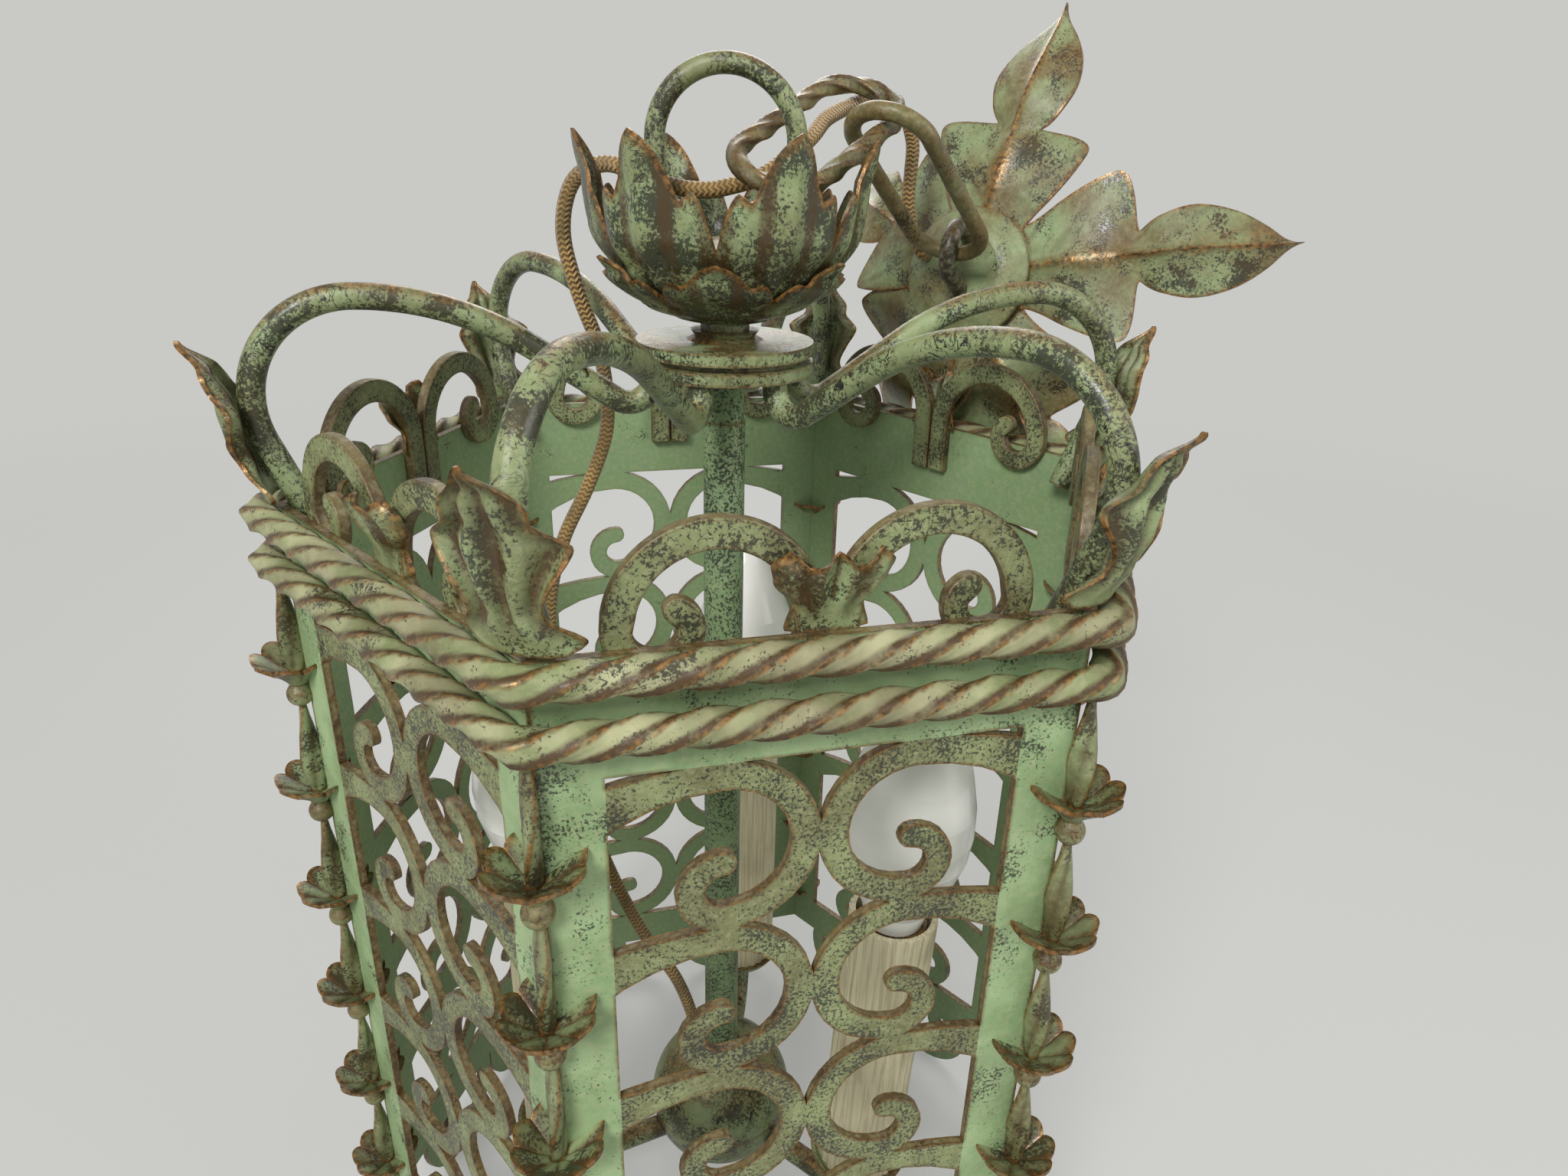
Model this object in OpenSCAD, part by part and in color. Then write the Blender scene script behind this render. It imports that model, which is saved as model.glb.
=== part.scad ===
// Hexagonal wrought-iron hanging lantern: six cut scrollwork panels, roped band, scroll crest and arms,
// petal cup with a fixed ring, a two-link chain and a leafy ceiling rose, and three candle lamps inside.
// +Z is up, the axis of the cage is x = y = 0, and z = 0 is the plane that the lower scrolls stand on.

/* [Cage] */
// Length of one side of the hexagonal cage, between its corner edges
side = 108; // [100:1:116]
// Height of the cut panels, from the rail's lower edge to the band's top edge
cage_h = 235; // [220:1:250]
// Thickness of the cut panels
plate_t = 2; // [1.6:0.1:2.4]
// Height of the plain band at the top of a panel
band_h = 24.8; // [23:0.2:27]
// Width of a panel's stile, from the corner edge
stile_w = 12.4; // [11:0.2:14]
// Height of the rail at the bottom of a panel
rail_h = 14; // [11:0.5:17]

/* [Scrolls] */
// Rows of scrolls in a panel
scroll_rows = 5; // [5:1:6]
// Width of a scroll's bar, seen from outside
scroll_w = 6.2; // [5.6:0.1:6.8]
// How far a scroll runs into the next one where they are welded
weld = 0.6; // [0.4:0.1:0.8]
// Radius of the turn at the free end of a scroll
curl_r = 9.6; // [9:0.1:10.2]
// Width of the bar in that turn
curl_w = 5.6; // [5:0.1:6]

/* [Crest] */
// Height of the crest scrolls above the band, and of the lower scrolls below the rail
crest_rise = 23; // [21:0.5:25]
// Radius of the big turn of a crest scroll
crest_r = 20.4; // [19.5:0.1:21]
// Width of a crest scroll's bar, seen from outside
crest_w = 6; // [5.4:0.1:6.4]
// Thickness of a crest scroll's bar
crest_t = 3; // [2.4:0.1:3.6]
// Radius of the small turn of a crest scroll
crest_turn_r = 9.3; // [9:0.1:9.6]
// Radius of the round end of a crest scroll
crest_tip_r = 2.6; // [2.4:0.1:2.8]
// Length of a crest scroll's leg below the band's top edge
crest_leg = 14; // [10:1:18]
// Height of the leaf at the middle of a crest
crest_leaf_h = 15; // [12:1:18]

/* [Roping] */
// Side of the square bar that the two ropes are twisted from
rope_bar = 6; // [5.4:0.1:6.4]
// Distance from the band's top edge down to the middle of the upper rope
rope_drop = 2; // [1.5:0.1:2.5]
// Distance between the middles of the two ropes
rope_gap = 11.8; // [11:0.1:13]
// Length of rope in which the bar makes a quarter turn
rope_lay = 11; // [10:0.5:13]

/* [Arms] */
// Diameter of the arm rods
arm_d = 6; // [5.4:0.1:6.6]
// Distance of an arm's upper end from the axis
arm_in_r = 18; // [17:0.5:18.5]
// Radius of the lower bend of an arm
arm_bend_r = 6; // [5:0.5:8]
// Distance from the axis to the top of an arm's arch
arm_peak_r = 85; // [82:0.5:88]
// Height of that top above the band's top edge
arm_peak_h = 47.3; // [45:0.5:50]
// Radius of the arch on its inner side
arm_arch_r = 68; // [60:1:75]
// Distance from the axis to the outermost part of an arm's middle line
arm_out_r = 109; // [108:0.5:110]
// Distance from the band's top edge down to an arm's lower end
arm_end_drop = 7; // [5:0.5:10]

/* [Corner leaves and garlands] */
// Height of a corner leaf's tip above the band's top edge
leaf_tip_h = 38; // [34:1:42]
// Width of a corner leaf
leaf_w = 25; // [22:1:28]
// Thickness of the leaf sheets
leaf_t = 1; // [0.8:0.1:1.2]
// Flowers on a corner's garland
flowers = 6; // [5:1:6]
// Radius of a flower's mouth
flower_r = 10; // [8.5:0.5:11]
// Height of a flower, from its bead to its mouth
flower_h = 17; // [15:0.5:19]
// Diameter of the bead under a flower
bead_d = 6.6; // [5.8:0.2:7.4]

/* [Crown] */
// Radius of the two discs that carry the arms
disc_r = 22; // [21.5:0.5:26]
// Thickness of one disc
disc_t = 3; // [2.4:0.2:3.6]
// Gap between the two discs
disc_gap = 1.6; // [1.2:0.2:2.4]
// Radius of the turned neck between the discs and the cup
neck_r = 7.5; // [7:0.1:8.4]
// Radius of the cup at its petal tips
cup_r = 37.5; // [35:0.5:40]
// Height of the cup, from its floor to its petal tips
cup_h = 42.3; // [41:0.1:42.5]
// Thickness of the cup's sheets
cup_t = 0.8; // [0.6:0.1:1]
// Petals round the cup
petals = 6;
// Outer radius of the hanging ring's bow
ring_r = 18.9; // [18.4:0.1:19.4]
// Diameter of the hanging ring's rod
ring_d = 4.8; // [4.2:0.1:5.2]
// Height of the bow's centre above the cup's floor
ring_rise = 42; // [38:0.5:46]

/* [Stem and hub] */
// Radius of the stem tube
stem_r = 5.4; // [5:0.1:6]
// Wall of the stem tube
stem_wall = 1.2; // [0.8:0.1:1.6]
// Height of the collar under the discs
collar_h = 13; // [10:0.5:16]
// Outer radius of the round hub
hub_r = 23.6; // [22:0.2:25]
// Wall of the hub's two bowls
hub_wall = 1.5; // [1.2:0.1:2]
// Height of the seam between the bowls above the standing plane
hub_z = 36; // [34:0.5:40]

/* [Candles] */
// Distance of the candles from the axis
candle_r = 54; // [50:0.5:56]
// Direction of the first candle
candle_turn = 70; // [60:1:80]
// Diameter of the candle arms
candle_arm_d = 7; // [6:0.2:8]
// Height of the plate that a candle stands on
dish_z = 50; // [48:0.5:54]
// Radius of that plate
dish_r = 15; // [14:0.2:16.5]
// Length of a candle's card sleeve
sleeve_h = 98; // [88:1:106]
// Outer radius of the sleeve, over its flutes
sleeve_r = 12.4; // [12:0.1:13]
// Wall of the sleeve
sleeve_wall = 1.2; // [0.9:0.1:1.4]
// Outer radius of the lampholder in the sleeve
holder_r = 9.5; // [9.2:0.1:10.2]
// Radius of the bulb's glass at its widest
bulb_r = 17.5; // [16:0.5:19]
// Height of the bulb's glass
bulb_h = 79; // [72:1:84]
// Radius of the bulb's cap
cap_r = 6.9; // [6.5:0.1:7.2]
// Outward lean of the third candle, in degrees
candle_lean = 3; // [0:0.5:4]

/* [Chain and ceiling rose] */
// Diameter of the chain's rod
link_d = 4.6; // [4.2:0.1:5]
// Length of a chain link over its ends
link_l = 64; // [63:0.1:64.4]
// Width of a chain link over its sides
link_w = 26.6; // [26:0.1:27]
// Length of a leaf of the ceiling rose, from its middle
rose_leaf_l = 92; // [80:1:100]
// Widest part of such a leaf
rose_leaf_w = 27; // [24:1:30]
// Radius of the dome in the middle of the rose
dome_r = 20; // [18:0.5:22]
// Height of that dome
dome_h = 9; // [7:0.5:11]
// Diameter of the hook on the dome
hook_d = 5; // [4.4:0.1:5.4]

/* [Hidden] */
// Clearance between pieces that are only seated on each other
seat = 0.15;
// Running gap between links that hang in each other
link_gap = 0.3;
// Length that a scroll's foot runs into the stile behind it
foot_lap = 4;
// A straight rod is this much thinner than the bends that it runs into, and runs this far into them
rod_slip = 0.02;
rod_lap = 0.2;

corner_a = [180, 240, 300, 0, 60, 120];
corner_name = ["left", "front_left", "front_right", "right", "back_right", "back_left"];

foot_h = crest_rise;
band_top = foot_h + cage_h;
apothem = side * cos(30);
row_h = (cage_h - band_h - rail_h) / scroll_rows;

iron_green = [0.55, 0.68, 0.5];
iron_olive = [0.45, 0.47, 0.32];
iron_bronze = [0.42, 0.36, 0.24];
rope_cream = [0.66, 0.66, 0.5];
ivory = [0.86, 0.82, 0.66];
opal = [0.95, 0.95, 0.93];
flex_gold = [0.55, 0.42, 0.2];

// Points along an arc, from angle a0 to a1
function arc(c, r, a0, a1, n) = [for (i = [0:n]) let (a = a0 + (a1 - a0) * i / n) c + r * [cos(a), sin(a)]];
function unit(v) = v / norm(v);
function mix(a, b, t) = a + (b - a) * t;
// Height of a smooth curve through a list of [position, value] pairs, at position t
function ramp(list, t, i = 0) =
    i >= len(list) - 2 || t <= list[i + 1][0]
        ? let (u = min(1, max(0, (t - list[i][0]) / (list[i + 1][0] - list[i][0]))), s = u * u * (3 - 2 * u))
            mix(list[i][1], list[i + 1][1], s)
        : ramp(list, t, i + 1);

// A closed sheet from two grids of points that face each other, rows by columns
module sheet(front, back) {
    rows = len(front);
    cols = len(front[0]);
    count = rows * cols;
    points = concat([for (row = front) for (p = row) p], [for (row = back) for (p = row) p]);
    function at(i, j) = i * cols + j;
    faces = concat(
        [for (i = [0:rows - 2]) for (j = [0:cols - 2]) [at(i, j), at(i + 1, j), at(i + 1, j + 1), at(i, j + 1)]],
        [for (i = [0:rows - 2]) for (j = [0:cols - 2])
            [count + at(i, j), count + at(i, j + 1), count + at(i + 1, j + 1), count + at(i + 1, j)]],
        [for (i = [0:rows - 2]) for (e = [0, cols - 1])
            e == 0
                ? [at(i, e), count + at(i, e), count + at(i + 1, e), at(i + 1, e)]
                : [at(i + 1, e), count + at(i + 1, e), count + at(i, e), at(i, e)]],
        [for (j = [0:cols - 2]) for (e = [0, rows - 1])
            e == 0
                ? [at(e, j + 1), count + at(e, j + 1), count + at(e, j), at(e, j)]
                : [at(e, j), count + at(e, j), count + at(e, j + 1), at(e, j + 1)]]
    );
    polyhedron(points, [for (f = faces) for (k = [1, 2]) [f[0], f[k], f[k + 1]]], convexity = 8);
}

// A bar swept through rings of points, open at both ends or closed on itself
module swept(rings, closed = false) {
    count = len(rings);
    m = len(rings[0]);
    last = closed ? count - 1 : count - 2;
    walls = [for (i = [0:last]) for (j = [0:m - 1])
        let (a = i * m + j, b = i * m + (j + 1) % m, c = ((i + 1) % count) * m + (j + 1) % m,
             d = ((i + 1) % count) * m + j)
        for (f = [[a, b, c], [a, c, d]]) f];
    ends = closed ? [] : [[for (j = [m - 1:-1:0]) j], [for (j = [0:m - 1]) (count - 1) * m + j]];
    polyhedron([for (r = rings) for (p = r) p], concat(walls, ends), convexity = 10);
}

// Outline of a scroll: foot on the left, arch over the top, down the right side and into the curl
function scroll_outline(foot_x, mid_x, r, w, cr, cw, foot_n) =
    let (
        tail_out = 4.7 * r,
        tail_in = 2 * r,
        run = mid_x - foot_x,
        a_out = asin(run / tail_out),
        a_in = asin(run / tail_in),
        top = [mid_x, 0],
        curl = [mid_x, cr - r],
        curl_in = (2 * cr - w - cw) / 2,
        curl_in_c = [mid_x, -r + w + curl_in]
    )
    concat(
        arc([mid_x, r - tail_out], tail_out, 90 + a_out, 90, foot_n),
        [for (p = arc(top, r, 80, -90, 15)) p],
        [for (p = arc(curl, cr, -105, -270, 11)) p],
        [for (p = arc([mid_x, curl_in_c[1] + curl_in + cw / 2], cw / 2, 60, -60, 4)) p],
        arc(curl_in_c, curl_in, -270, -105, 8),
        arc(top, r - w, -90, 80, 13),
        arc([mid_x, r - w - tail_in], tail_in, 90, 90 + a_in, foot_n)
    );

// Half of a crest, its leg beside the middle of the side and its curl towards the corner
module crest_half(leg) {
    mid = side / 2 - link_gap - crest_r;
    low = crest_rise - crest_r;
    turn = crest_turn_r;
    inner = turn - crest_w + 0.6;
    curl = crest_w + 0.3;
    turn_x = mid - crest_r + turn;
    inner_x = turn_x + 0.3;
    curl_x = turn_x + turn - curl;
    polygon(concat(
        [[mid + crest_r, -leg], [mid + crest_r, low]],
        arc([mid, low], crest_r, 10, 170, 16),
        arc([turn_x, low], turn, 180, 360, 12),
        arc([curl_x, low], curl, 15, 70, 3),
        arc([curl_x, low] + (curl - crest_tip_r) * [cos(70), sin(70)], crest_tip_r, 100, 220, 4),
        arc([inner_x, low], inner, 360, 180, 9),
        arc([mid, low], crest_r - crest_w, 165, 0, 13),
        [[mid + crest_r - crest_w, -leg]]
    ));
}

module crest_flat() {
    crest_half(crest_leg);
    translate([side, 0]) mirror([1, 0]) crest_half(crest_leg);
}

// Patterns of one panel, x from corner to corner and y up: its frame, a column of scrolls, the lower scrolls
module frame_flat() {
    translate([0, foot_h])
        difference() {
            square([side, cage_h]);
            translate([stile_w, rail_h]) square([side - 2 * stile_w, cage_h - band_h - rail_h]);
        }
}

module column_flat(flip) {
    r = row_h / 2 + weld / 2;
    translate([flip * side, 0]) mirror([flip, 0])
        for (i = [0:scroll_rows - 1])
            translate([0, band_top - band_h - row_h * (i + 0.5)])
                polygon(scroll_outline(stile_w - foot_lap, side / 2 + weld / 2 - r, r, scroll_w, curl_r, curl_w, 4));
}

module lower_flat(flip) {
    translate([flip * side, foot_h]) mirror([flip, 0]) mirror([0, 1]) crest_half(rail_h * 0.6);
}

// Places a flat outline upright against the inside of face k, off mm out from the face, t mm thick
module on_face(k, off, t) {
    rotate([0, 0, 60 * k])
        translate([-side / 2, -apothem - off + t, 0])
            rotate([90, 0, 0])
                linear_extrude(t) children();
}

module panel(k) {
    color(iron_green) {
        intersection() {
            on_face(k, 0, plate_t) frame_flat();
            rotate([0, 0, 60 * k])
                linear_extrude(band_top + 1)
                    polygon([[0, 0], [side, -side / tan(30)], [-side, -side / tan(30)]]);
        }
        for (flip = [0, 1]) {
            on_face(k, 0, plate_t) column_flat(flip);
            on_face(k, 0, plate_t) lower_flat(flip);
        }
    }
}

// Three-lobed leaf that covers the legs of a crest
module crest_leaf() {
    tall = crest_leaf_h;
    half = [[0, 7.5], [0.3, 6], [0.62, 9.8], [0.85, 9], [1, 4]];
    function spot(u, v, lift) =
        let (w = ramp(half, v), notch = 1.6 * (1 - cos(360 * u)) * v)
        [u * w, plate_t + lift - 0.5 - 4.4 * v * v + 1.6 * u * u, v * tall - notch];
    rows = 6;
    front = [for (i = [0:rows]) [for (u = [-1, -0.5, 0, 0.5, 1]) spot(u, i / rows, 0)]];
    back = [for (i = [0:rows]) [for (u = [-1, -0.5, 0, 0.5, 1]) spot(u, i / rows, leaf_t)]];
    translate([0, -apothem, band_top]) sheet(front, back);
}

module crest(k) {
    color(iron_olive) {
        on_face(k, -plate_t, crest_t) translate([0, band_top]) crest_flat();
        rotate([0, 0, 60 * k]) crest_leaf();
    }
}

// The arm in its own vertical plane: x is the distance from the axis, z the height
arm_fall_r = arm_out_r - arm_peak_r;
arm_top_z = band_top + arm_peak_h - 18.3;
arm_low_c = [arm_in_r + arm_bend_r, arm_top_z - 1.5];
arm_arch_c = [arm_peak_r, band_top + arm_peak_h - arm_arch_r];
arm_fall_c = [arm_peak_r, band_top + arm_peak_h - arm_fall_r];
arm_span = arm_arch_c - arm_low_c;
arm_slope = atan2(arm_span[1], arm_span[0]) + asin((arm_bend_r + arm_arch_r) / norm(arm_span));
arm_end = [(apothem - plate_t - arm_d / 2 - 0.5) / cos(30) - 0.38 * arm_end_drop, band_top - arm_end_drop];
arm_drop = arm_end - arm_fall_c;
arm_toe = atan2(arm_drop[1], arm_drop[0]) + acos(arm_fall_r / norm(arm_drop));

// Part of a torus in the x-z plane, round centre c, from angle a0 to a1
module bent_rod(c, r, d, a0, a1) {
    translate([c[0], 0, c[1]])
        rotate([90, 0, 0]) rotate([0, 0, a0])
            rotate_extrude(angle = a1 - a0, $fn = 96) translate([r, 0]) circle(d = d, $fn = 32);
}

// A straight rod in the x-z plane, from p to q; lap tells which of its ends run into a bend
module straight_rod(p, q, d, lap = [1, 1]) {
    v = q - p;
    translate([p[0], 0, p[1]])
        rotate([0, atan2(v[0], v[1]), 0])
            translate([0, 0, -lap[0] * rod_lap])
                cylinder(d = d - rod_slip, h = norm(v) + (lap[0] + lap[1]) * rod_lap, $fn = 32);
}

module arm(a) {
    foot_in = arm_low_c + arm_bend_r * [sin(arm_slope), -cos(arm_slope)];
    foot_out = arm_arch_c + arm_arch_r * [-sin(arm_slope), cos(arm_slope)];
    toe = arm_fall_c + arm_fall_r * [cos(arm_toe), sin(arm_toe)];
    color(iron_green)
        rotate([0, 0, a]) {
            straight_rod([arm_in_r, arm_low_c[1]], [arm_in_r, arm_top_z], arm_d, [1, 0]);
            bent_rod(arm_low_c, arm_bend_r, arm_d, 180, 270 + arm_slope);
            straight_rod(foot_in, foot_out, arm_d);
            bent_rod(arm_arch_c, arm_arch_r, arm_d, 90, 90 + arm_slope);
            bent_rod(arm_fall_c, arm_fall_r, arm_d - rod_slip, arm_toe, 90 + 0.5);
            straight_rod(arm_end, toe, arm_d - rod_slip, [0, 1]);
        }
}

// Fluted leaf that stands on a corner and wraps the end of the arm
module corner_leaf(a) {
    base = side - 2.9;
    peak = arm_out_r + arm_d / 2;
    out = [[0, base + 2.8], [0.22, base + 4.9], [0.42, peak - 0.2], [0.62, peak + 0.6],
           [0.84, peak + 3.6], [1, peak + 9]];
    half = [[0, 6.5], [0.12, leaf_w * 0.38], [0.25, leaf_w * 0.33], [0.5, leaf_w * 0.48],
            [0.66, leaf_w * 0.5], [0.74, leaf_w * 0.4], [0.84, leaf_w * 0.3], [1, 0.6]];
    function spot(u, v, lift) =
        let (w = ramp(half, v), flute = 0.5 * sin(180 * v) * (1 - cos(540 * u)))
        [ramp(out, v) + lift + flute - 0.035 * pow(u * w, 2), u * w, band_top + 2 + v * (leaf_tip_h - 2)];
    rows = 9;
    cols = 3;
    front = [for (i = [0:rows]) [for (j = [-cols:cols]) spot(j / cols, i / rows, leaf_t + 0.4)]];
    back = [for (i = [0:rows]) [for (j = [-cols:cols]) spot(j / cols, i / rows, 0.4)]];
    color(iron_green) rotate([0, 0, a]) sheet(front, back);
}

// One flower of the garland, its bead at the bottom and its mouth turned up
module flower() {
    bead = bead_d / 2;
    wall = 1.2;
    neck = bead * 0.62;
    mouth = flower_h - bead;
    profile = [
        [neck, bead * 1.9], [neck + 0.6, mouth * 0.55], [flower_r * 0.52, mouth * 0.76],
        [flower_r * 0.8, mouth * 0.9], [flower_r, mouth * 0.96], [flower_r, mouth * 0.96 + wall],
        [flower_r * 0.74, mouth * 0.94 + wall], [flower_r * 0.44, mouth * 0.82 + wall], [0, mouth * 0.6 + wall]
    ];
    rotate_extrude($fn = 36) polygon(concat(arc([0, bead], bead, -90, 40, 6), [for (p = profile) if (p[1] > bead) p]));
    for (i = [0:5])
        rotate([0, 0, 60 * i]) translate([flower_r * 0.82, 0, mouth * 0.93])
            rotate([0, -28, 0]) cylinder(r1 = 2.4, r2 = 2.9, h = 1.6, $fn = 16);
}

// Twisted leaf between two flowers, h mm long
module twisted_leaf(h) {
    rings = [for (i = [0:7])
        let (t = i / 7, w = 0.9 + 2.1 * sin(180 * pow(t, 0.8)), b = 0.8 + 0.8 * sin(180 * t), turn = -35 + 130 * t)
        [for (p = [[w, 0], [0, -b], [-w, 0], [0, b]])
            [p[0] * cos(turn) - p[1] * sin(turn), p[0] * sin(turn) + p[1] * cos(turn), t * h]]];
    swept(rings);
}

garland_top = band_top - rope_drop - rope_gap - rope_bar * sqrt(2) / 2 - 0.3;
garland_pitch = (garland_top - foot_h - 2) / flowers;
garland_r = side + 2.2;

module garland(a) {
    color(iron_bronze)
        difference() {
            rotate([0, 0, a]) translate([garland_r, 0, 0])
                for (i = [0:flowers - 1]) {
                    translate([0, 0, garland_top - garland_pitch * (i + 1)]) {
                        flower();
                        translate([0, 0, flower_h * 0.4])
                            twisted_leaf(garland_pitch - flower_h * 0.4 + (i == 0 ? 0 : 1.2));
                    }
                }
            cylinder(r = side, h = band_top, $fn = 6);
        }
}

// Twisted square bar round the outside of the band
rope_off = rope_bar * sqrt(2) / 2 + 0.05;
rope_run = side + rope_off * PI / 3;

function rope_at(s) =
    let (k = floor(s / rope_run), u = s - k * rope_run, a = 60 * k - 120,
         along = [cos(a + 120), sin(a + 120), 0], out = [cos(a + 30), sin(a + 30), 0],
         start = side * [cos(a), sin(a), 0])
    u <= side
        ? [start + along * u + out * rope_off, out]
        : let (b = a + 30 + (u - side) / rope_off * 180 / PI, n = [cos(b), sin(b), 0])
            [side * [cos(a + 60), sin(a + 60), 0] + n * rope_off, n];

module rope(z) {
    whole = 6 * rope_run;
    quarters = round(whole / rope_lay);
    steps = 150;
    half = rope_bar * sqrt(2) / 2;
    rings = [for (i = [0:steps - 1])
        let (s = whole * i / steps, at = rope_at(s), turn = 90 * quarters * i / steps)
        [for (j = [0:3]) at[0] + [0, 0, z] + half * (cos(turn + 90 * j) * at[1] + [0, 0, sin(turn + 90 * j)])]];
    color(rope_cream) swept(rings, closed = true);
}

// The crown: two discs, a turned neck, the petal cup and the fixed ring
disc_z = arm_top_z;
neck_z = disc_z + 2 * disc_t + disc_gap;
cup_z = neck_z + 2.4;
crown_turn = -16;

module disc(z) {
    color(iron_green)
        translate([0, 0, z]) cylinder(r = disc_r, h = disc_t, $fn = 96);
}

module disc_lower() {
    disc(disc_z);
}

// The upper disc has the spacer of the groove turned on its underside
module disc_upper() {
    disc(disc_z + disc_t + disc_gap);
    color(iron_green)
        translate([0, 0, disc_z + disc_t]) cylinder(r = disc_r - 3, h = disc_gap + 0.1, $fn = 96);
}

// Gap between the cup's sheets, and height of the disc in the cup that the ring stands on
cup_seam = 0.9;
cup_hole_r = 6.2;
bridge_h = 18.2;
bridge_t = 2;
ring_leg_r = ring_r - ring_d / 2;

module cup_neck() {
    floor_z = cup_z - neck_z;
    core_r = cup_hole_r - seat;
    color(iron_green)
        translate([0, 0, neck_z])
            rotate_extrude($fn = 64)
                polygon([[0, 0], [neck_r + 2, 0], [neck_r, 1], [neck_r + 1, floor_z], [core_r, floor_z],
                         [core_r, floor_z + bridge_h], [ring_leg_r + ring_d / 2 + 0.2, floor_z + bridge_h],
                         [ring_leg_r + ring_d / 2 + 0.2, floor_z + bridge_h + bridge_t],
                         [0, floor_z + bridge_h + bridge_t]]);
}

// Radius and height of the cup's section at share v of its way up, moved in by d from the outermost skin
function cup_section(v, d) =
    let (list = [[0, cup_hole_r / cup_r], [0.18, 0.33], [0.42, 0.62], [0.68, 0.83], [0.88, 0.92], [1, 1]])
    [cup_r * ramp(list, v) - d * min(1, 4 * v), seat + cup_h * pow(v, 1.15) + d * (1 - v)];

// One of the cup's two sheets; tall is the share of the section that its petal tips reach
module cup_sheet(turn, tall, low, deep, fluting, up) {
    around = 36;
    function rim(a) = let (c = abs(cos(petals * a / 2))) low + (tall - low) * pow(c, 1.4);
    function flute(a) = fluting * pow(abs(sin(petals * a / 2)), 0.7);
    function spot(i, j, inset) =
        let (a = 360 * i / around, v = rim(a) * j / up, s = cup_section(v, deep + inset),
             r = s[0] * (1 - flute(a) * min(1, 2 * v)))
        [r * cos(a), r * sin(a), s[1]];
    n = around * (up + 1);
    outer = [for (i = [0:around - 1]) for (j = [0:up]) spot(i, j, 0)];
    inner = [for (i = [0:around - 1]) for (j = [0:up]) spot(i, j, cup_t)];
    function at(i, j) = (i % around) * (up + 1) + j;
    quads = concat(
        [for (i = [0:around - 1]) for (j = [0:up - 1]) [at(i, j), at(i, j + 1), at(i + 1, j + 1), at(i + 1, j)]],
        [for (i = [0:around - 1]) for (j = [0:up - 1])
            [n + at(i, j), n + at(i + 1, j), n + at(i + 1, j + 1), n + at(i, j + 1)]],
        [for (i = [0:around - 1]) [at(i, up), n + at(i, up), n + at(i + 1, up), at(i + 1, up)]],
        [for (i = [0:around - 1]) [at(i + 1, 0), n + at(i + 1, 0), n + at(i, 0), at(i, 0)]]
    );
    color(iron_green)
        translate([0, 0, cup_z]) rotate([0, 0, turn])
            polyhedron(concat(outer, inner), [for (q = quads) for (k = [1, 2]) [q[0], q[k], q[k + 1]]], convexity = 8);
}

module cup_outer() {
    cup_sheet(crown_turn + 30, 0.5, 0.36, 0, 0, 4);
}

module cup_inner() {
    cup_sheet(crown_turn, 1, 0.62, cup_t + cup_seam, 0.05, 8);
}

ring_foot_z = cup_z + bridge_h + bridge_t;
ring_z = cup_z + ring_rise;

module hanging_ring() {
    color(iron_green)
        rotate([0, 0, crown_turn]) {
            bent_rod([0, ring_z], ring_leg_r, ring_d, 0, 180);
            for (x = [-ring_leg_r, ring_leg_r]) straight_rod([x, ring_foot_z], [x, ring_z], ring_d, [0, 1]);
        }
}

// Stem and hub
collar_z = disc_z - collar_h;
boss_z = hub_z - 9;

module stem_collar() {
    color(iron_green)
        translate([0, 0, collar_z])
            difference() {
                cylinder(r = stem_r - 0.4, h = collar_h, $fn = 64);
                translate([0, 0, -1]) cylinder(r = stem_r - 0.4 - stem_wall, h = collar_h + 2, $fn = 48);
            }
}

module stem_tube() {
    color(iron_green)
        translate([0, 0, boss_z])
            difference() {
                cylinder(r = stem_r, h = collar_z - boss_z, $fn = 64);
                translate([0, 0, -1]) cylinder(r = stem_r - stem_wall, h = collar_z - boss_z + 2, $fn = 48);
            }
}

// Entry for the flex, a short bush on the hub's cap
bush_at = [-9, 6];
bush_z = hub_z + hub_r - 1;

module hub_cap() {
    color(iron_green)
        difference() {
            union() {
                rotate_extrude($fn = 96)
                    polygon(concat(arc([0, hub_z], hub_r, 0, 90, 24), arc([0, hub_z], hub_r - hub_wall, 90, 0, 20)));
                translate([bush_at[0], bush_at[1], hub_z + hub_r - 6]) cylinder(r = 3.6, h = 5, $fn = 32);
            }
            cylinder(r = stem_r + seat, h = 2 * hub_z + hub_r, $fn = 64);
        }
}

module hub_bowl() {
    inner = hub_r - hub_wall;
    dip = asin(9 / inner);
    color(iron_green)
        translate([0, 0, hub_z])
            rotate_extrude($fn = 96)
                polygon(concat(
                    [[0, -9], [inner * cos(dip) * 0.36, -9], [inner * 0.36, -inner * 0.9]],
                    arc([0, 0], inner, -64, 0, 14),
                    arc([0, 0], hub_r, 0, -80, 20),
                    arc([0, -hub_r - 2.6], 3.4, 30, -90, 8)
                ));
}

// Candles
hub_arm_z = hub_z - 8;
lift_r = 12;

// Turns and leans the k-th candle with all that it stands on
module at_candle(k) {
    lean = k == 2 ? candle_lean : 0;
    rotate([0, 0, candle_turn + 120 * k])
        translate([hub_r, 0, hub_arm_z]) rotate([0, lean, 0]) translate([-hub_r, 0, -hub_arm_z])
            children();
}

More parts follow.
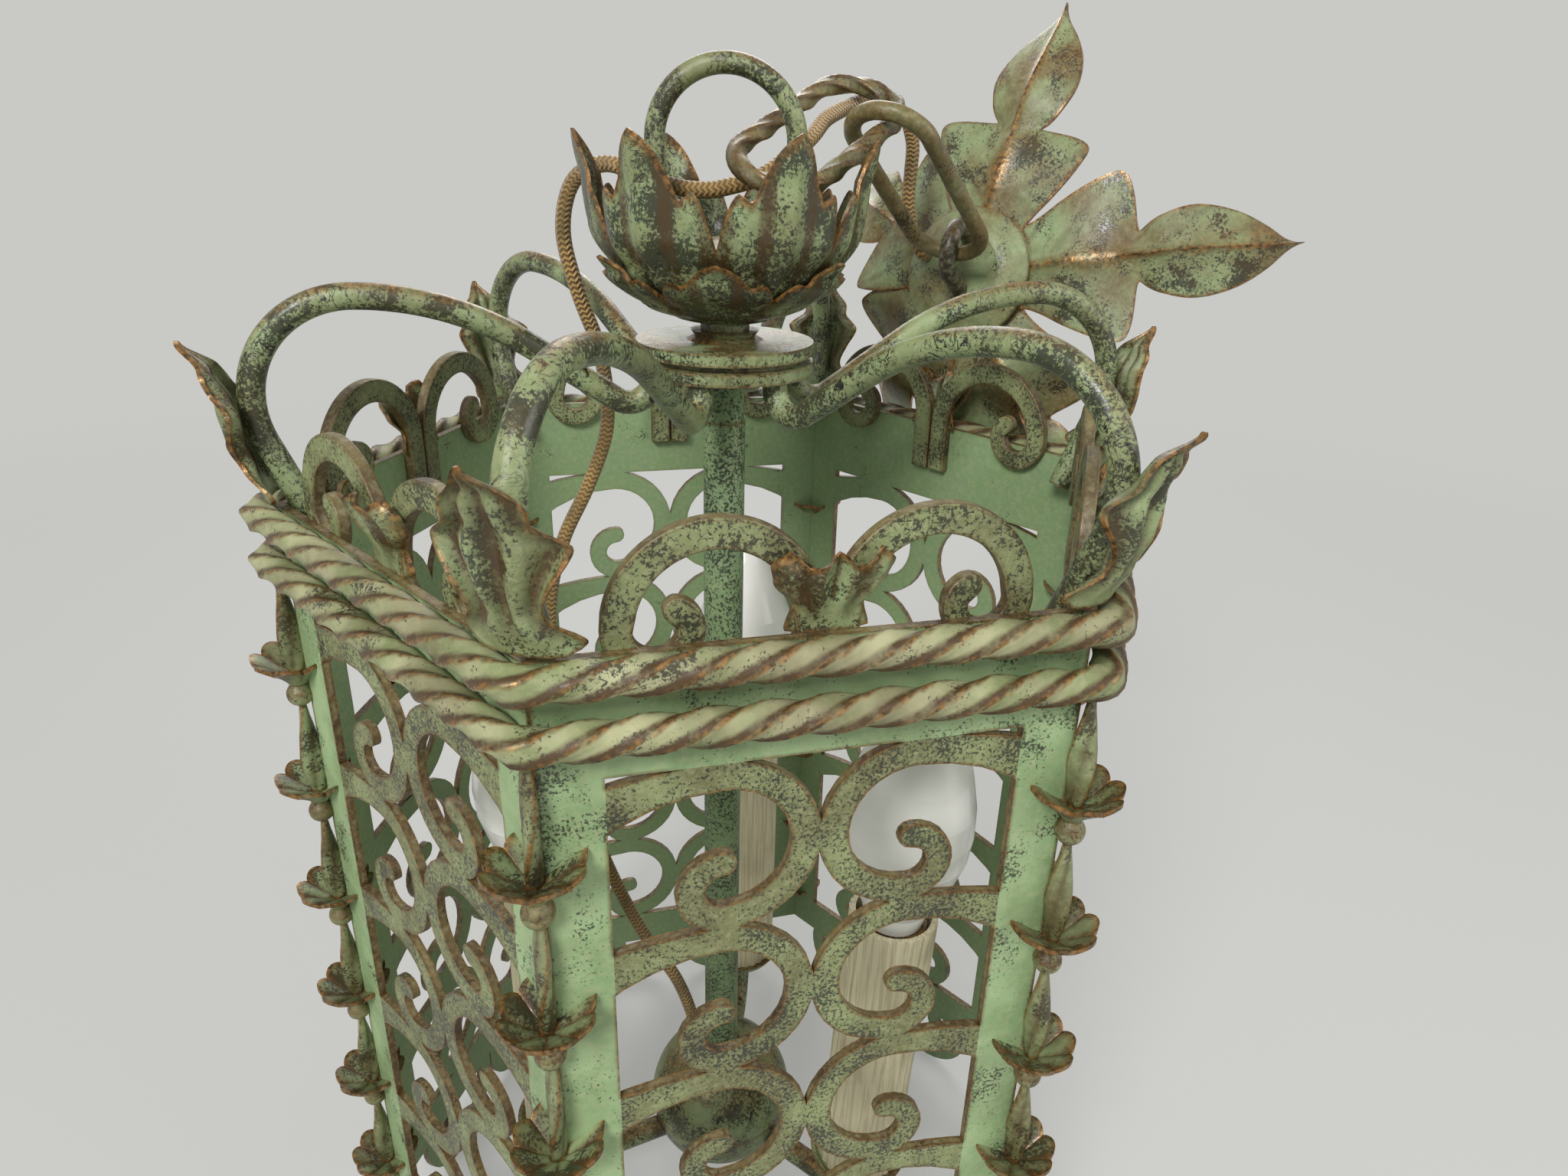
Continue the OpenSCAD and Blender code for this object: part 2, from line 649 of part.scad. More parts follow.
module candle_arm(k) {
    start = sqrt(hub_r * hub_r - 64) - 2;
    color(iron_green)
        difference() {
            at_candle(k) {
                straight_rod([start, hub_arm_z], [candle_r - lift_r, hub_arm_z], candle_arm_d);
                bent_rod([candle_r - lift_r, hub_arm_z + lift_r], lift_r, candle_arm_d, 270, 360);
                straight_rod([candle_r, hub_arm_z + lift_r], [candle_r, dish_z - 3], candle_arm_d);
                translate([candle_r, 0, 0]) {
                    rotate_extrude($fn = 64)
                        polygon([[0, dish_z - 6], [5, dish_z - 6], [7, dish_z - 4], [dish_r - 2, dish_z - 2],
                                 [dish_r, dish_z + 1.2], [dish_r - 1.2, dish_z + 1.2], [sleeve_r + 0.6, dish_z],
                                 [0, dish_z]]);
                    difference() {
                        translate([0, 0, dish_z - 1]) cylinder(r = holder_r, h = holder_h + 1, $fn = 48);
                        translate([0, 0, dish_z + holder_h - cap_l])
                            cylinder(r = cap_r + seat, h = cap_l + 1, $fn = 48);
                    }
                }
            }
            translate([0, 0, hub_z]) sphere(r = hub_r + seat, $fn = 96);
        }
}

cap_l = 22;
holder_h = sleeve_h - 2;

module sleeve(k) {
    flute_n = 26;
    outline = [for (i = [0:flute_n * 4 - 1])
        let (a = 90 * i / flute_n, r = sleeve_r - 0.3 + 0.3 * sin(90 * i))
        r * [cos(a), sin(a)]];
    color(ivory)
        at_candle(k) translate([candle_r, 0, dish_z])
            linear_extrude(sleeve_h)
                difference() {
                    polygon(outline);
                    circle(r = sleeve_r - 0.6 - sleeve_wall, $fn = 64);
                }
}

// Opal candle bulb with its screw cap
module bulb(k) {
    foot = holder_h + 0.4;
    glass = [[8.2, 0], [9.6, 6], [bulb_r * 0.82, 16], [bulb_r * 0.97, 25], [bulb_r, 32], [bulb_r * 0.97, 40],
             [bulb_r * 0.84, 50], [bulb_r * 0.62, 60], [bulb_r * 0.38, 69], [bulb_r * 0.19, 75], [bulb_r * 0.08, 78],
             [0, 79]];
    color(opal)
        at_candle(k) translate([candle_r, 0, dish_z + foot])
            rotate_extrude($fn = 48)
                polygon(concat([[0, 0.3 - cap_l], [cap_r * 0.6, 0.3 - cap_l], [cap_r, 3 - cap_l], [cap_r, 0]],
                               [for (p = glass) [p[0], p[1] * bulb_h / 79]]));
}

// Chain: a link of twisted square rod through the ring, then a plain one down to the rose's hook
ring_leg = ring_leg_r * [cos(crown_turn), sin(crown_turn), 0];
link_a_turn = [21, -20.9, 42.6];
link_a_mid = [26.3, 10.9, ring_z + 3.1];
link_b_turn = [-3.3, 37.4, 36.3];
link_b_mid = [59.1, 25.4, ring_z - 9.5];

module link_upper() {
    half_w = (link_w - link_d) / 2;
    run = (link_l - link_w) / 2;
    bar = link_d * 0.84 / sqrt(2);
    arc_l = PI * half_w;
    whole = 2 * arc_l + 4 * run;
    steps = 48;
    function at(s) =
        s < 2 * run ? [[s - run, half_w], [0, 1]]
        : s < 2 * run + arc_l
            ? let (b = 90 - (s - 2 * run) / half_w * 180 / PI) [[run, 0] + half_w * [cos(b), sin(b)], [cos(b), sin(b)]]
        : s < 4 * run + arc_l ? [[run - (s - 2 * run - arc_l), -half_w], [0, -1]]
        : let (b = 270 - (s - 4 * run - arc_l) / half_w * 180 / PI)
            [[-run, 0] + half_w * [cos(b), sin(b)], [cos(b), sin(b)]];
    rings = [for (i = [0:steps - 1])
        let (p = at(whole * i / steps), turn = 90 * 14 * i / steps)
        [for (j = [3:-1:0])
            let (r = bar * [cos(turn + 90 * j), sin(turn + 90 * j)])
            [p[0][0] + r[0] * p[1][0], p[0][1] + r[0] * p[1][1], r[1]]]];
    color(iron_bronze)
        translate(link_a_mid) rotate(link_a_turn) swept(rings, closed = true);
}

module link_lower() {
    half_w = (link_w - link_d) / 2;
    run = (link_l - link_w) / 2;
    color(iron_bronze)
        translate(link_b_mid) rotate(link_b_turn) {
            for (e = [0, 1])
                rotate([0, 0, 180 * e]) translate([run, 0, 0])
                    rotate([0, 0, -90]) rotate_extrude(angle = 180, $fn = 64)
                        translate([half_w, 0]) circle(d = link_d, $fn = 32);
            for (y = [-half_w, half_w])
                translate([-run, y, 0]) rotate([0, 90, 0]) cylinder(d = link_d, h = 2 * run, $fn = 32);
        }
}

// The ceiling rose stands outside the back right face, its dome and hook towards the lantern
rose_mid = [91, 54.5, ring_z - 35.5];
rose_turn = [0, 78.4, 219.6];
rose_first = 102;
// Length of each leaf and how far it falls back, as shares of the first one's
rose_shares = [[1, 1], [0.9, 0.8], [0.8, 1.6], [0.8, 2.4], [1, 1.5]];
hook_reach = 26.8;
hook_turn = [7.6, -64.9, 39];
rose_back_t = 1.2;

module at_rose() {
    translate(rose_mid) rotate(rose_turn) children();
}

module rose_hook() {
    eye = 7.2;
    color(iron_bronze)
        intersection() {
            translate(rose_mid) rotate(hook_turn) {
                bent_rod([0, hook_reach - eye], eye, hook_d, 0, 180);
                for (x = [-eye, eye]) straight_rod([x, 2], [x, hook_reach - eye], hook_d, [0, 1]);
            }
            at_rose() translate([0, 0, dome_h + 25]) cube(50, center = true);
        }
}

module rose_dome() {
    color(iron_green)
        at_rose()
            rotate_extrude($fn = 72)
                polygon([[0, rose_back_t], [5.5, rose_back_t], [5.5, 4.6], [dome_r - 2, 4.6], [dome_r - 1, 3.2],
                         [dome_r, 3.2], [dome_r, 4.4], [dome_r * 0.92, dome_h * 0.6],
                         [dome_r * 0.72, dome_h * 0.88], [dome_r * 0.6, dome_h], [0, dome_h]]);
}

module rose_leaf(long, back) {
    half = [[0, 0.62], [0.16, 0.7], [0.34, 0.5], [0.43, 0.86], [0.5, 0.74], [0.545, 0.36], [0.7, 0.5],
            [0.82, 0.4], [0.93, 0.18], [1, 0.02]];
    fall = [[0, 0], [0.3, -1], [0.6, -7], [1, -20]];
    function spot(u, v, lift) =
        let (w = rose_leaf_w * ramp(half, v), crown = 3.4 * sin(150 * v) * (1 - pow(abs(u), 0.8)))
        [long * rose_leaf_l * v * (1 - 0.06 * abs(u)), u * w, back * ramp(fall, v) + crown + lift];
    rows = [0.08, 0.2, 0.32, 0.38, 0.43, 0.5, 0.545, 0.6, 0.7, 0.82, 0.93, 1];
    cross = [-1, -0.5, 0, 0.5, 1];
    sheet([for (v = rows) [for (u = cross) spot(u, v, 0)]], [for (v = rows) [for (u = cross) spot(u, v, 1.2)]]);
}

module rose_leaves() {
    color(iron_green)
        at_rose() {
            cylinder(r = dome_r, h = rose_back_t, $fn = 60);
            for (i = [0:len(rose_shares) - 1])
                rotate([0, 0, rose_first + 72 * i]) rose_leaf(rose_shares[i][0], rose_shares[i][1]);
        }
}

// Braided flex, 4 mm across, from the rose along the chain into the cup and down to the hub
flex_d = 4;
route_drop = [
    [-9, 6, 58.8], [-9, 6, 66], [-14, 8, 82], [-24, 12, 100], [-34, 16, 126], [-42, 20, 156], [-46, 24, 188],
    [-46, 27, 214], [-41, 31, 232], [-33, 34, 247], [-27, 37, 261], [-26, 38, 273], [-28, 36, 287], [-33, 33, 302],
    [-36, 32, 317], [-33, 30, 329], [-25, 25, 333.5], [-15.5, 17.5, 330.5], [-7, 13, 328.5], [-0.5, 10.5, 328.5]
];
route_cup = [[-0.5, 10.5, 328.5], [10, 9, 331.5], [18.5, 11.5, 336.5], [25.5, 17, 341], [31.5, 24.5, 345.5],
             [39, 32.5, 348.5]];
route_chain = [[39, 32.5, 348.5], [48, 39.5, 351], [57, 44.5, 350.5], [63.5, 49, 347]];
route_rose = [[63.5, 49, 347], [67, 52.5, 340.5], [68, 55, 333], [68.5, 56.5, 325], [70.5, 57, 317],
              [73.5, 56.5, 311], [76.5, 58.5, 309]];
into_cup = [17, -4, 3];
over_link = [16.5, 15, 5.5];
down_chain = [10, 8, -10];
into_dome = [3, 2.2, -0.8];

// Point of a smooth curve through the route, at share t of its spans
function along(route, t) =
    let (n = len(route) - 1, i = min(n - 1, floor(t)), f = t - i,
         p0 = route[max(0, i - 1)], p1 = route[i], p2 = route[i + 1], p3 = route[min(n, i + 2)])
    0.5 * (2 * p1 + (p2 - p0) * f + (2 * p0 - 5 * p1 + 4 * p2 - p3) * f * f + (3 * p1 - p0 - 3 * p2 + p3) * f * f * f);

module flex(route, per_span, first, last) {
    n = (len(route) - 1) * per_span;
    mid = [for (i = [0:n]) along(route, i / per_span)];
    dir = [for (i = [0:n]) i == 0 ? unit(first) : i == n ? unit(last) : unit(mid[i + 1] - mid[i - 1])];
    side_v = [for (i = 0, v = cross(dir[0], [0.3, 0.9, 0.2]); i <= n;
                   i = i + 1, v = i <= n ? v - (v * dir[i]) * dir[i] : v) unit(v)];
    rings = [for (i = [0:n])
        let (a = side_v[i], b = cross(dir[i], a))
        [for (j = [7:-1:0]) mid[i] + flex_d / 2 * (cos(45 * j) * a + sin(45 * j) * b)]];
    color(flex_gold) swept(rings);
}

panel(0);  // panel_front
panel(1);  // panel_front_right
panel(2);  // panel_back_right
panel(3);  // panel_back
panel(4);  // panel_back_left
panel(5);  // panel_front_left
crest(0);  // crest_front
crest(1);  // crest_front_right
crest(2);  // crest_back_right
crest(3);  // crest_back
crest(4);  // crest_back_left
crest(5);  // crest_front_left
arm(180);  // arm_left
arm(240);  // arm_front_left
arm(300);  // arm_front_right
arm(0);  // arm_right
arm(60);  // arm_back_right
arm(120);  // arm_back_left
corner_leaf(180);  // leaf_left
corner_leaf(240);  // leaf_front_left
corner_leaf(300);  // leaf_front_right
corner_leaf(0);  // leaf_right
corner_leaf(60);  // leaf_back_right
corner_leaf(120);  // leaf_back_left
garland(180);  // garland_left
garland(240);  // garland_front_left
garland(300);  // garland_front_right
garland(0);  // garland_right
garland(60);  // garland_back_right
garland(120);  // garland_back_left
rope(band_top - rope_drop);  // rope_upper
rope(band_top - rope_drop - rope_gap);  // rope_lower
disc_lower();
disc_upper();
cup_neck();
cup_outer();
cup_inner();
hanging_ring();
stem_collar();
stem_tube();
hub_cap();
hub_bowl();
candle_arm(0);  // candle_arm_back
candle_arm(1);  // candle_arm_left
candle_arm(2);  // candle_arm_front
sleeve(0);  // sleeve_back
sleeve(1);  // sleeve_left
sleeve(2);  // sleeve_front
bulb(0);  // bulb_back
bulb(1);  // bulb_left
bulb(2);  // bulb_front
link_upper();
link_lower();
rose_hook();
rose_dome();
rose_leaves();
flex(route_drop, 2, [0, 0, 1], into_cup);  // flex_drop
flex(route_cup, 2, into_cup, over_link);  // flex_cup
flex(route_chain, 2, over_link, down_chain);  // flex_chain
flex(route_rose, 2, down_chain, into_dome);  // flex_rose
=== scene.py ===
from math import cos, exp, pi, radians, sin, sqrt

import bmesh
import bpy
from bpy.props import FloatProperty, FloatVectorProperty, IntProperty, PointerProperty
from mathutils import Matrix, Vector


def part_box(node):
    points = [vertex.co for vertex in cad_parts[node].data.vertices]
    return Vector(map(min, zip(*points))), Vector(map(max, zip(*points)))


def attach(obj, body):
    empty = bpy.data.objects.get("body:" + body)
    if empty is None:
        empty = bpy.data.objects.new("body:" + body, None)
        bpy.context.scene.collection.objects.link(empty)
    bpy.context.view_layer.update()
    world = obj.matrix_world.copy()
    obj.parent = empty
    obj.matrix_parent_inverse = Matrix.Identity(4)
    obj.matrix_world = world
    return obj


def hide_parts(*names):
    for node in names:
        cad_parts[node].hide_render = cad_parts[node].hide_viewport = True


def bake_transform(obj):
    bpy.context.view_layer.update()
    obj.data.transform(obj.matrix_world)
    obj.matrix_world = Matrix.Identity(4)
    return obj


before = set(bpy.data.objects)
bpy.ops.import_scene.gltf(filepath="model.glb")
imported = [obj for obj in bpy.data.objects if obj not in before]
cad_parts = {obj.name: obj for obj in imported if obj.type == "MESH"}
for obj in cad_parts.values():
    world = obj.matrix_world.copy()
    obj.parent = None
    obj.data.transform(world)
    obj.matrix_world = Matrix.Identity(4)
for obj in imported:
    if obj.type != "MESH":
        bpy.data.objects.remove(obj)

bl_info = {
    "name": "Cage lantern dressing",
    "version": (1, 0, 0),
    "blender": (4, 5, 0),
    "location": "3D View > Sidebar > Lantern",
    "description": "Dresses the hexagonal wrought-iron lantern with its ironwork details and finishes",
    "category": "Add Mesh",
}

MM = 0.001
FACES = ("front", "front_right", "back_right", "back", "back_left", "front_left")
CORNERS = {"left": 180, "front_left": 240, "front_right": 300, "right": 0, "back_right": 60, "back_left": 120}
CANDLES = ("back", "left", "front")

# Main places of the frame, in metres
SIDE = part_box("panel_front")[1].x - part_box("panel_front")[0].x
APOTHEM = SIDE * cos(radians(30))
BAND_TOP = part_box("panel_front")[1].z
CREST_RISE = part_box("crest_front")[1].z - BAND_TOP
# The scrolls that stand out below the bottom rail are as tall as the crests
RAIL_LOW = CREST_RISE
CUP_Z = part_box("cup_inner")[0].z

# Angles in degrees from which an edge is shaded sharp
CUT, CHASED, TWISTED = 35, 50, 70


def linear(code):
    """An sRGB hex colour as the linear values that Blender's sockets take."""
    parts = [int(code[i:i + 2], 16) / 255 for i in (0, 2, 4)]
    return tuple(p / 12.92 if p <= 0.04045 else ((p + 0.055) / 1.055) ** 2.4 for p in parts)


def size(name, about, millimetres):
    """A length that a user can change, from its default in mm."""
    return FloatProperty(name=name, description=about, default=millimetres * MM, min=0.0001, max=1,
                         subtype="DISTANCE", unit="LENGTH")


def colour(name, about, code):
    """A colour that a user can change, from its sRGB hex code."""
    return FloatVectorProperty(name=name, description=about, default=linear(code), size=3, min=0, max=1,
                               subtype="COLOR")


class LanternSizes(bpy.types.PropertyGroup):
    """Sizes of the forged and cut ironwork"""
    edge: size("Edge rounding", "How far the edges of the cut plates are rounded off", 0.45)
    plate_t: size("Plate thickness", "Thickness of the cut panels", 2)
    stile_w: size("Stile width", "Width of a panel's stile, from the corner edge", 12.4)
    rail_h: size("Rail height", "Height of the rail at the bottom of a panel", 14)
    band_h: size("Band height", "Height of the plain band at the top of a panel", 24.8)
    crest_r: size("Crest turn", "Radius of the big turn of a crest scroll", 20.4)
    crest_w: size("Crest bar width", "Width of a crest scroll's bar", 6)
    crest_t: size("Crest bar thickness", "Thickness of a crest scroll's bar", 3)
    crest_leg: size("Crest leg", "Length of a crest scroll's leg below the band's top edge", 14)
    crest_leaf_h: size("Crest leaf height", "Height of the leaf at the middle of a crest", 17)
    rope_bar: size("Rope bar", "Side of the square bar that a rope is twisted from", 6)
    rope_lay: size("Rope lay", "Length of rope in which the bar makes a quarter turn", 11)
    rope_drop: size("Rope drop", "Distance from the band's top edge to the middle of the upper rope", 2)
    rope_gap: size("Rope spacing", "Distance between the middles of the two ropes", 11.8)
    leaf_w: size("Corner leaf width", "Width of a corner leaf", 25)
    leaf_tip_h: size("Corner leaf tip", "Height of a corner leaf's tip above the band's top edge", 38)
    leaf_t: size("Leaf thickness", "Thickness of the leaf sheets", 1)
    flower_r: size("Flower radius", "Radius of a garland flower's mouth", 10)
    flower_h: size("Flower height", "Height of a garland flower, from its bead to its mouth", 17)
    bead_d: size("Bead diameter", "Diameter of the bead under a flower", 6.6)
    cup_r: size("Cup radius", "Radius of the cup at its petal tips", 37.5)
    cup_h: size("Cup height", "Height of the cup, from its floor to its petal tips", 42.3)
    cup_t: size("Cup sheet", "Thickness of the cup's sheets", 0.8)
    link_d: size("Chain rod", "Diameter of the chain's rod", 4.6)
    link_l: size("Link length", "Length of a chain link over its ends", 64)
    link_w: size("Link width", "Width of a chain link over its sides", 26.6)
    rose_leaf_l: size("Rose leaf length", "Length of a leaf of the ceiling rose", 91.8)
    rose_leaf_w: size("Rose leaf width", "Half width from which a rose leaf's lobes are worked out", 27)
    flex_d: size("Flex diameter", "Diameter of the braided flex", 4)
    flowers: IntProperty(name="Flowers", description="Flowers on a corner's garland", default=6, min=4, max=8)


class LanternColours(bpy.types.PropertyGroup):
    """Colours of the paints, the rubbed metal and the candle fittings"""
    verdigris: colour("Verdigris", "Pale green paint of the plates", "9BB585")
    moss: colour("Moss", "Yellowed green of the forged rods, the leaves and the cup", "8FA173")
    verdigris_deep: colour("Deep verdigris", "Darker green under the pale coat", "819B6C")
    inner_green: colour("Inner green", "Plain green sprayed inside the cage", "819A70")
    olive: colour("Olive", "Yellowed green glaze on the scrolls", "848E60")
    olive_deep: colour("Deep olive", "Browner patches of the glaze", "6A6C45")
    cream: colour("Cream", "Pale glaze on the ropes", "B2B189")
    # Umber is also the painted shade along one side of each edge of the twisted bars
    soot: colour("Soot", "Black primer that shows as specks and veins", "20221D")
    # Copper is also laid where faces point up, partly as wear and partly as a painted highlight
    copper: colour("Copper", "Copper bronze on rubbed edges", "A07440")
    umber: colour("Umber", "Brown glaze that lies in the hollows", "4A371D")
    bronze: colour("Bronze", "Brown bronze of the garlands and the chain", "75683F")
    card: colour("Card", "Ivory card of the candle sleeves", "DCD2B2")
    # Card shade is painted shade in the grooves of the sleeves
    card_shade: colour("Card shade", "Browned grooves of the sleeves", "8E7A55")
    opal: colour("Opal glass", "White of the candle bulbs", "EDEBE6")
    silk: colour("Silk", "Gold strands of the braided flex", "BE9A5A")
    # Silk shade is painted shade: it darkens the strands where the weave dips between them
    silk_shade: colour("Silk shade", "Brown strands of the braided flex", "755528")
    floor: colour("Floor", "Pale floor and backdrop", "C9C9C6")


class LanternPatterns(bpy.types.PropertyGroup):
    """Sizes of the patterns in the finishes"""
    speck: size("Speck", "Size of a sponged speck", 0.8)
    cluster: size("Cluster", "Size of a cluster of specks", 11)
    vein: size("Vein", "Spacing of the crackle veins", 4.5)
    cloud: size("Cloud", "Size of the patches of tone", 16)
    hammer: size("Hammer mark", "Size of the marks of hammer and brush", 2.6)
    rub: size("Rubbed edge", "Width of the band along an edge that is rubbed and glazed", 1.5)
    braid: size("Braid pitch", "Length of one chevron of the braid, drawn coarse enough to show", 1.4)


def sizes():
    return bpy.context.scene.lantern_sizes


def patterns():
    return bpy.context.scene.lantern_patterns


def tint(name):
    """The colour of that name, as a socket takes it."""
    return (*getattr(bpy.context.scene.lantern_colours, name), 1.0)


# Materials

PRODUCT = {"operation": "MULTIPLY", "use_clamp": True}
LARGER = {"operation": "MAXIMUM", "use_clamp": True}
SCALED_SUM = {"operation": "MULTIPLY_ADD"}


def feed(node, inputs):
    """Sets or links a node's inputs, given by name, by number or in order."""
    for socket, value in inputs.items() if isinstance(inputs, dict) else enumerate(inputs):
        if isinstance(value, bpy.types.NodeSocket):
            node.id_data.links.new(value, node.inputs[socket])
        else:
            node.inputs[socket].default_value = value


def add(tree, kind, inputs=(), out=0, **settings):
    """Adds a shader node with its settings and links, and gives one of its outputs."""
    node = tree.nodes.new("ShaderNode" + kind)
    for name, value in settings.items():
        setattr(node, name, value)
    feed(node, inputs)
    return node.outputs[out]


def material(name, build):
    """The material of that name. The first time, build(tree) gives what its shader's inputs take."""
    if name not in bpy.data.materials:
        made = bpy.data.materials.new(name)
        made.use_nodes = True
        feed(made.node_tree.nodes["Principled BSDF"], build(made.node_tree))
    return bpy.data.materials[name]


def spots(tree, place, length, low, high, detail=2.0, rough=0.55, distort=0.0, least=0.0, most=1.0):
    """Spots of that real size: noise that rises from least to most where it goes from low to high."""
    value = add(tree, "TexNoise", {"Vector": place, "Scale": 1 / length, "Detail": detail, "Roughness": rough,
                                   "Distortion": distort})
    return add(tree, "MapRange", (value, low, high, least, most))


def coats(tree, ground, *layers):
    """A colour under coats of others, each laid on by its share."""
    for share, coat in layers:
        ground = add(tree, "Mix", {0: share, 6: ground, 7: coat}, 2, data_type="RGBA")
    return ground


def edge_bands(tree, width):
    """The rubbed rim along an edge, and the wider band beside it in which brown and specks gather."""
    rounded = add(tree, "Bevel", {"Radius": width}, samples=6)
    facing = add(tree, "NewGeometry", (), "Normal")
    agree = add(tree, "VectorMath", (rounded, facing), "Value", operation="DOT_PRODUCT")
    rim, near = (0.95, 0.85), (0.999, 0.93)
    return [add(tree, "MapRange", (agree, *band)) for band in (rim, near)]


# The finishes of the ironwork: a name, the colours of the coat and of its deeper patches, and how strong each
# effect is. A comment says what sets each apart to the eye.
FINISHES = {
    # A calm pale coat with small groups of specks
    "plate": ("Sponged verdigris on cut iron plate", "verdigris", "verdigris_deep",
              {"speck": 0.55, "rub": 0.9, "tan": 0.12, "grouped": 0.45}),
    # Yellower, with fine specks all over
    "scroll": ("Olive glaze on cut iron scrolls", "olive", "olive_deep",
               {"speck": 1.15, "tan": 0.12, "grouped": 0.3}),
    # Nearly plain, as it was sprayed where a hand can't reach
    "inner": ("Plain green sprayed on iron", "inner_green", "verdigris_deep",
              {"speck": -0.3, "rub": 0.3, "halo": 0.2}),
    # Bronze and brown, without green
    "edge": ("Rubbed edge of cut iron", "bronze", "umber", {"speck": 0.4, "tan": 0.2, "rough": 0.45}),
    # Glossy, with black crackle, and copper along the tops that is partly wear and partly a painted highlight
    "rod": ("Crackled verdigris on forged iron rod", "moss", "olive",
            {"speck": 1.25, "vein": 1.0, "rub": 0.8, "tan": 0.3, "rough": 0.4, "halo": 0.6, "top": 0.9}),
    # Some crackle, and brown in the flutes
    "leaf": ("Glazed verdigris on chased iron leaf", "moss", "olive",
             {"speck": 0.9, "vein": 0.3, "tan": 0.2, "rough": 0.45}),
    # The palest, with painted shade in brown along one side of each ridge, and copper on its ridges
    "rope": ("Cream glaze on twisted iron bar", "cream", "olive",
             {"speck": 0.45, "glaze": 1.25, "tan": 0.45, "halo": 0.5}),
    # The most crackle, and brown between the petals
    "petal": ("Crackled verdigris on raised iron petals", "moss", "olive",
              {"speck": 1.35, "vein": 1.0, "tan": 0.3, "rough": 0.38}),
    # Fine even specks
    "stem": ("Fine black speckle on drawn iron tube", "verdigris_deep", "inner_green",
             {"speck": 1.25, "rub": 0.6, "tan": 0.1, "halo": 0.4, "grouped": 0.25}),
    # Brown over green, with copper on every tip
    "garland": ("Bronze glaze on cast iron garland", "moss", "olive_deep",
                {"speck": 1.0, "tan": 0.4, "rough": 0.42}),
    # Tan patches, and copper where the leaves face up, partly wear and partly a painted highlight
    "rose": ("Tan wash on chased iron rose", "moss", "bronze",
             {"speck": 0.8, "vein": 0.2, "tan": 0.3, "rough": 0.4, "top": 0.5}),
    # Dark and brown, with copper along the tops, partly wear and partly a painted highlight, and painted
    # shade along one side of each edge of the twisted link
    "chain": ("Dark bronze on hammered iron chain", "olive_deep", "bronze",
              {"speck": 0.7, "vein": 0.4, "rub": 0.9, "tan": 0.5, "rough": 0.38, "top": 0.7}),
    # The darkest and smoothest
    "hook": ("Brown bronze on bent iron rod", "umber", "soot", {"speck": 0.3, "rub": 0.3, "rough": 0.32}),
}


def iron(finish):
    """The material of one of the finishes above."""
    name, base, deep, strengths = FINISHES[finish]
    return ironwork(name, base, deep, **strengths)


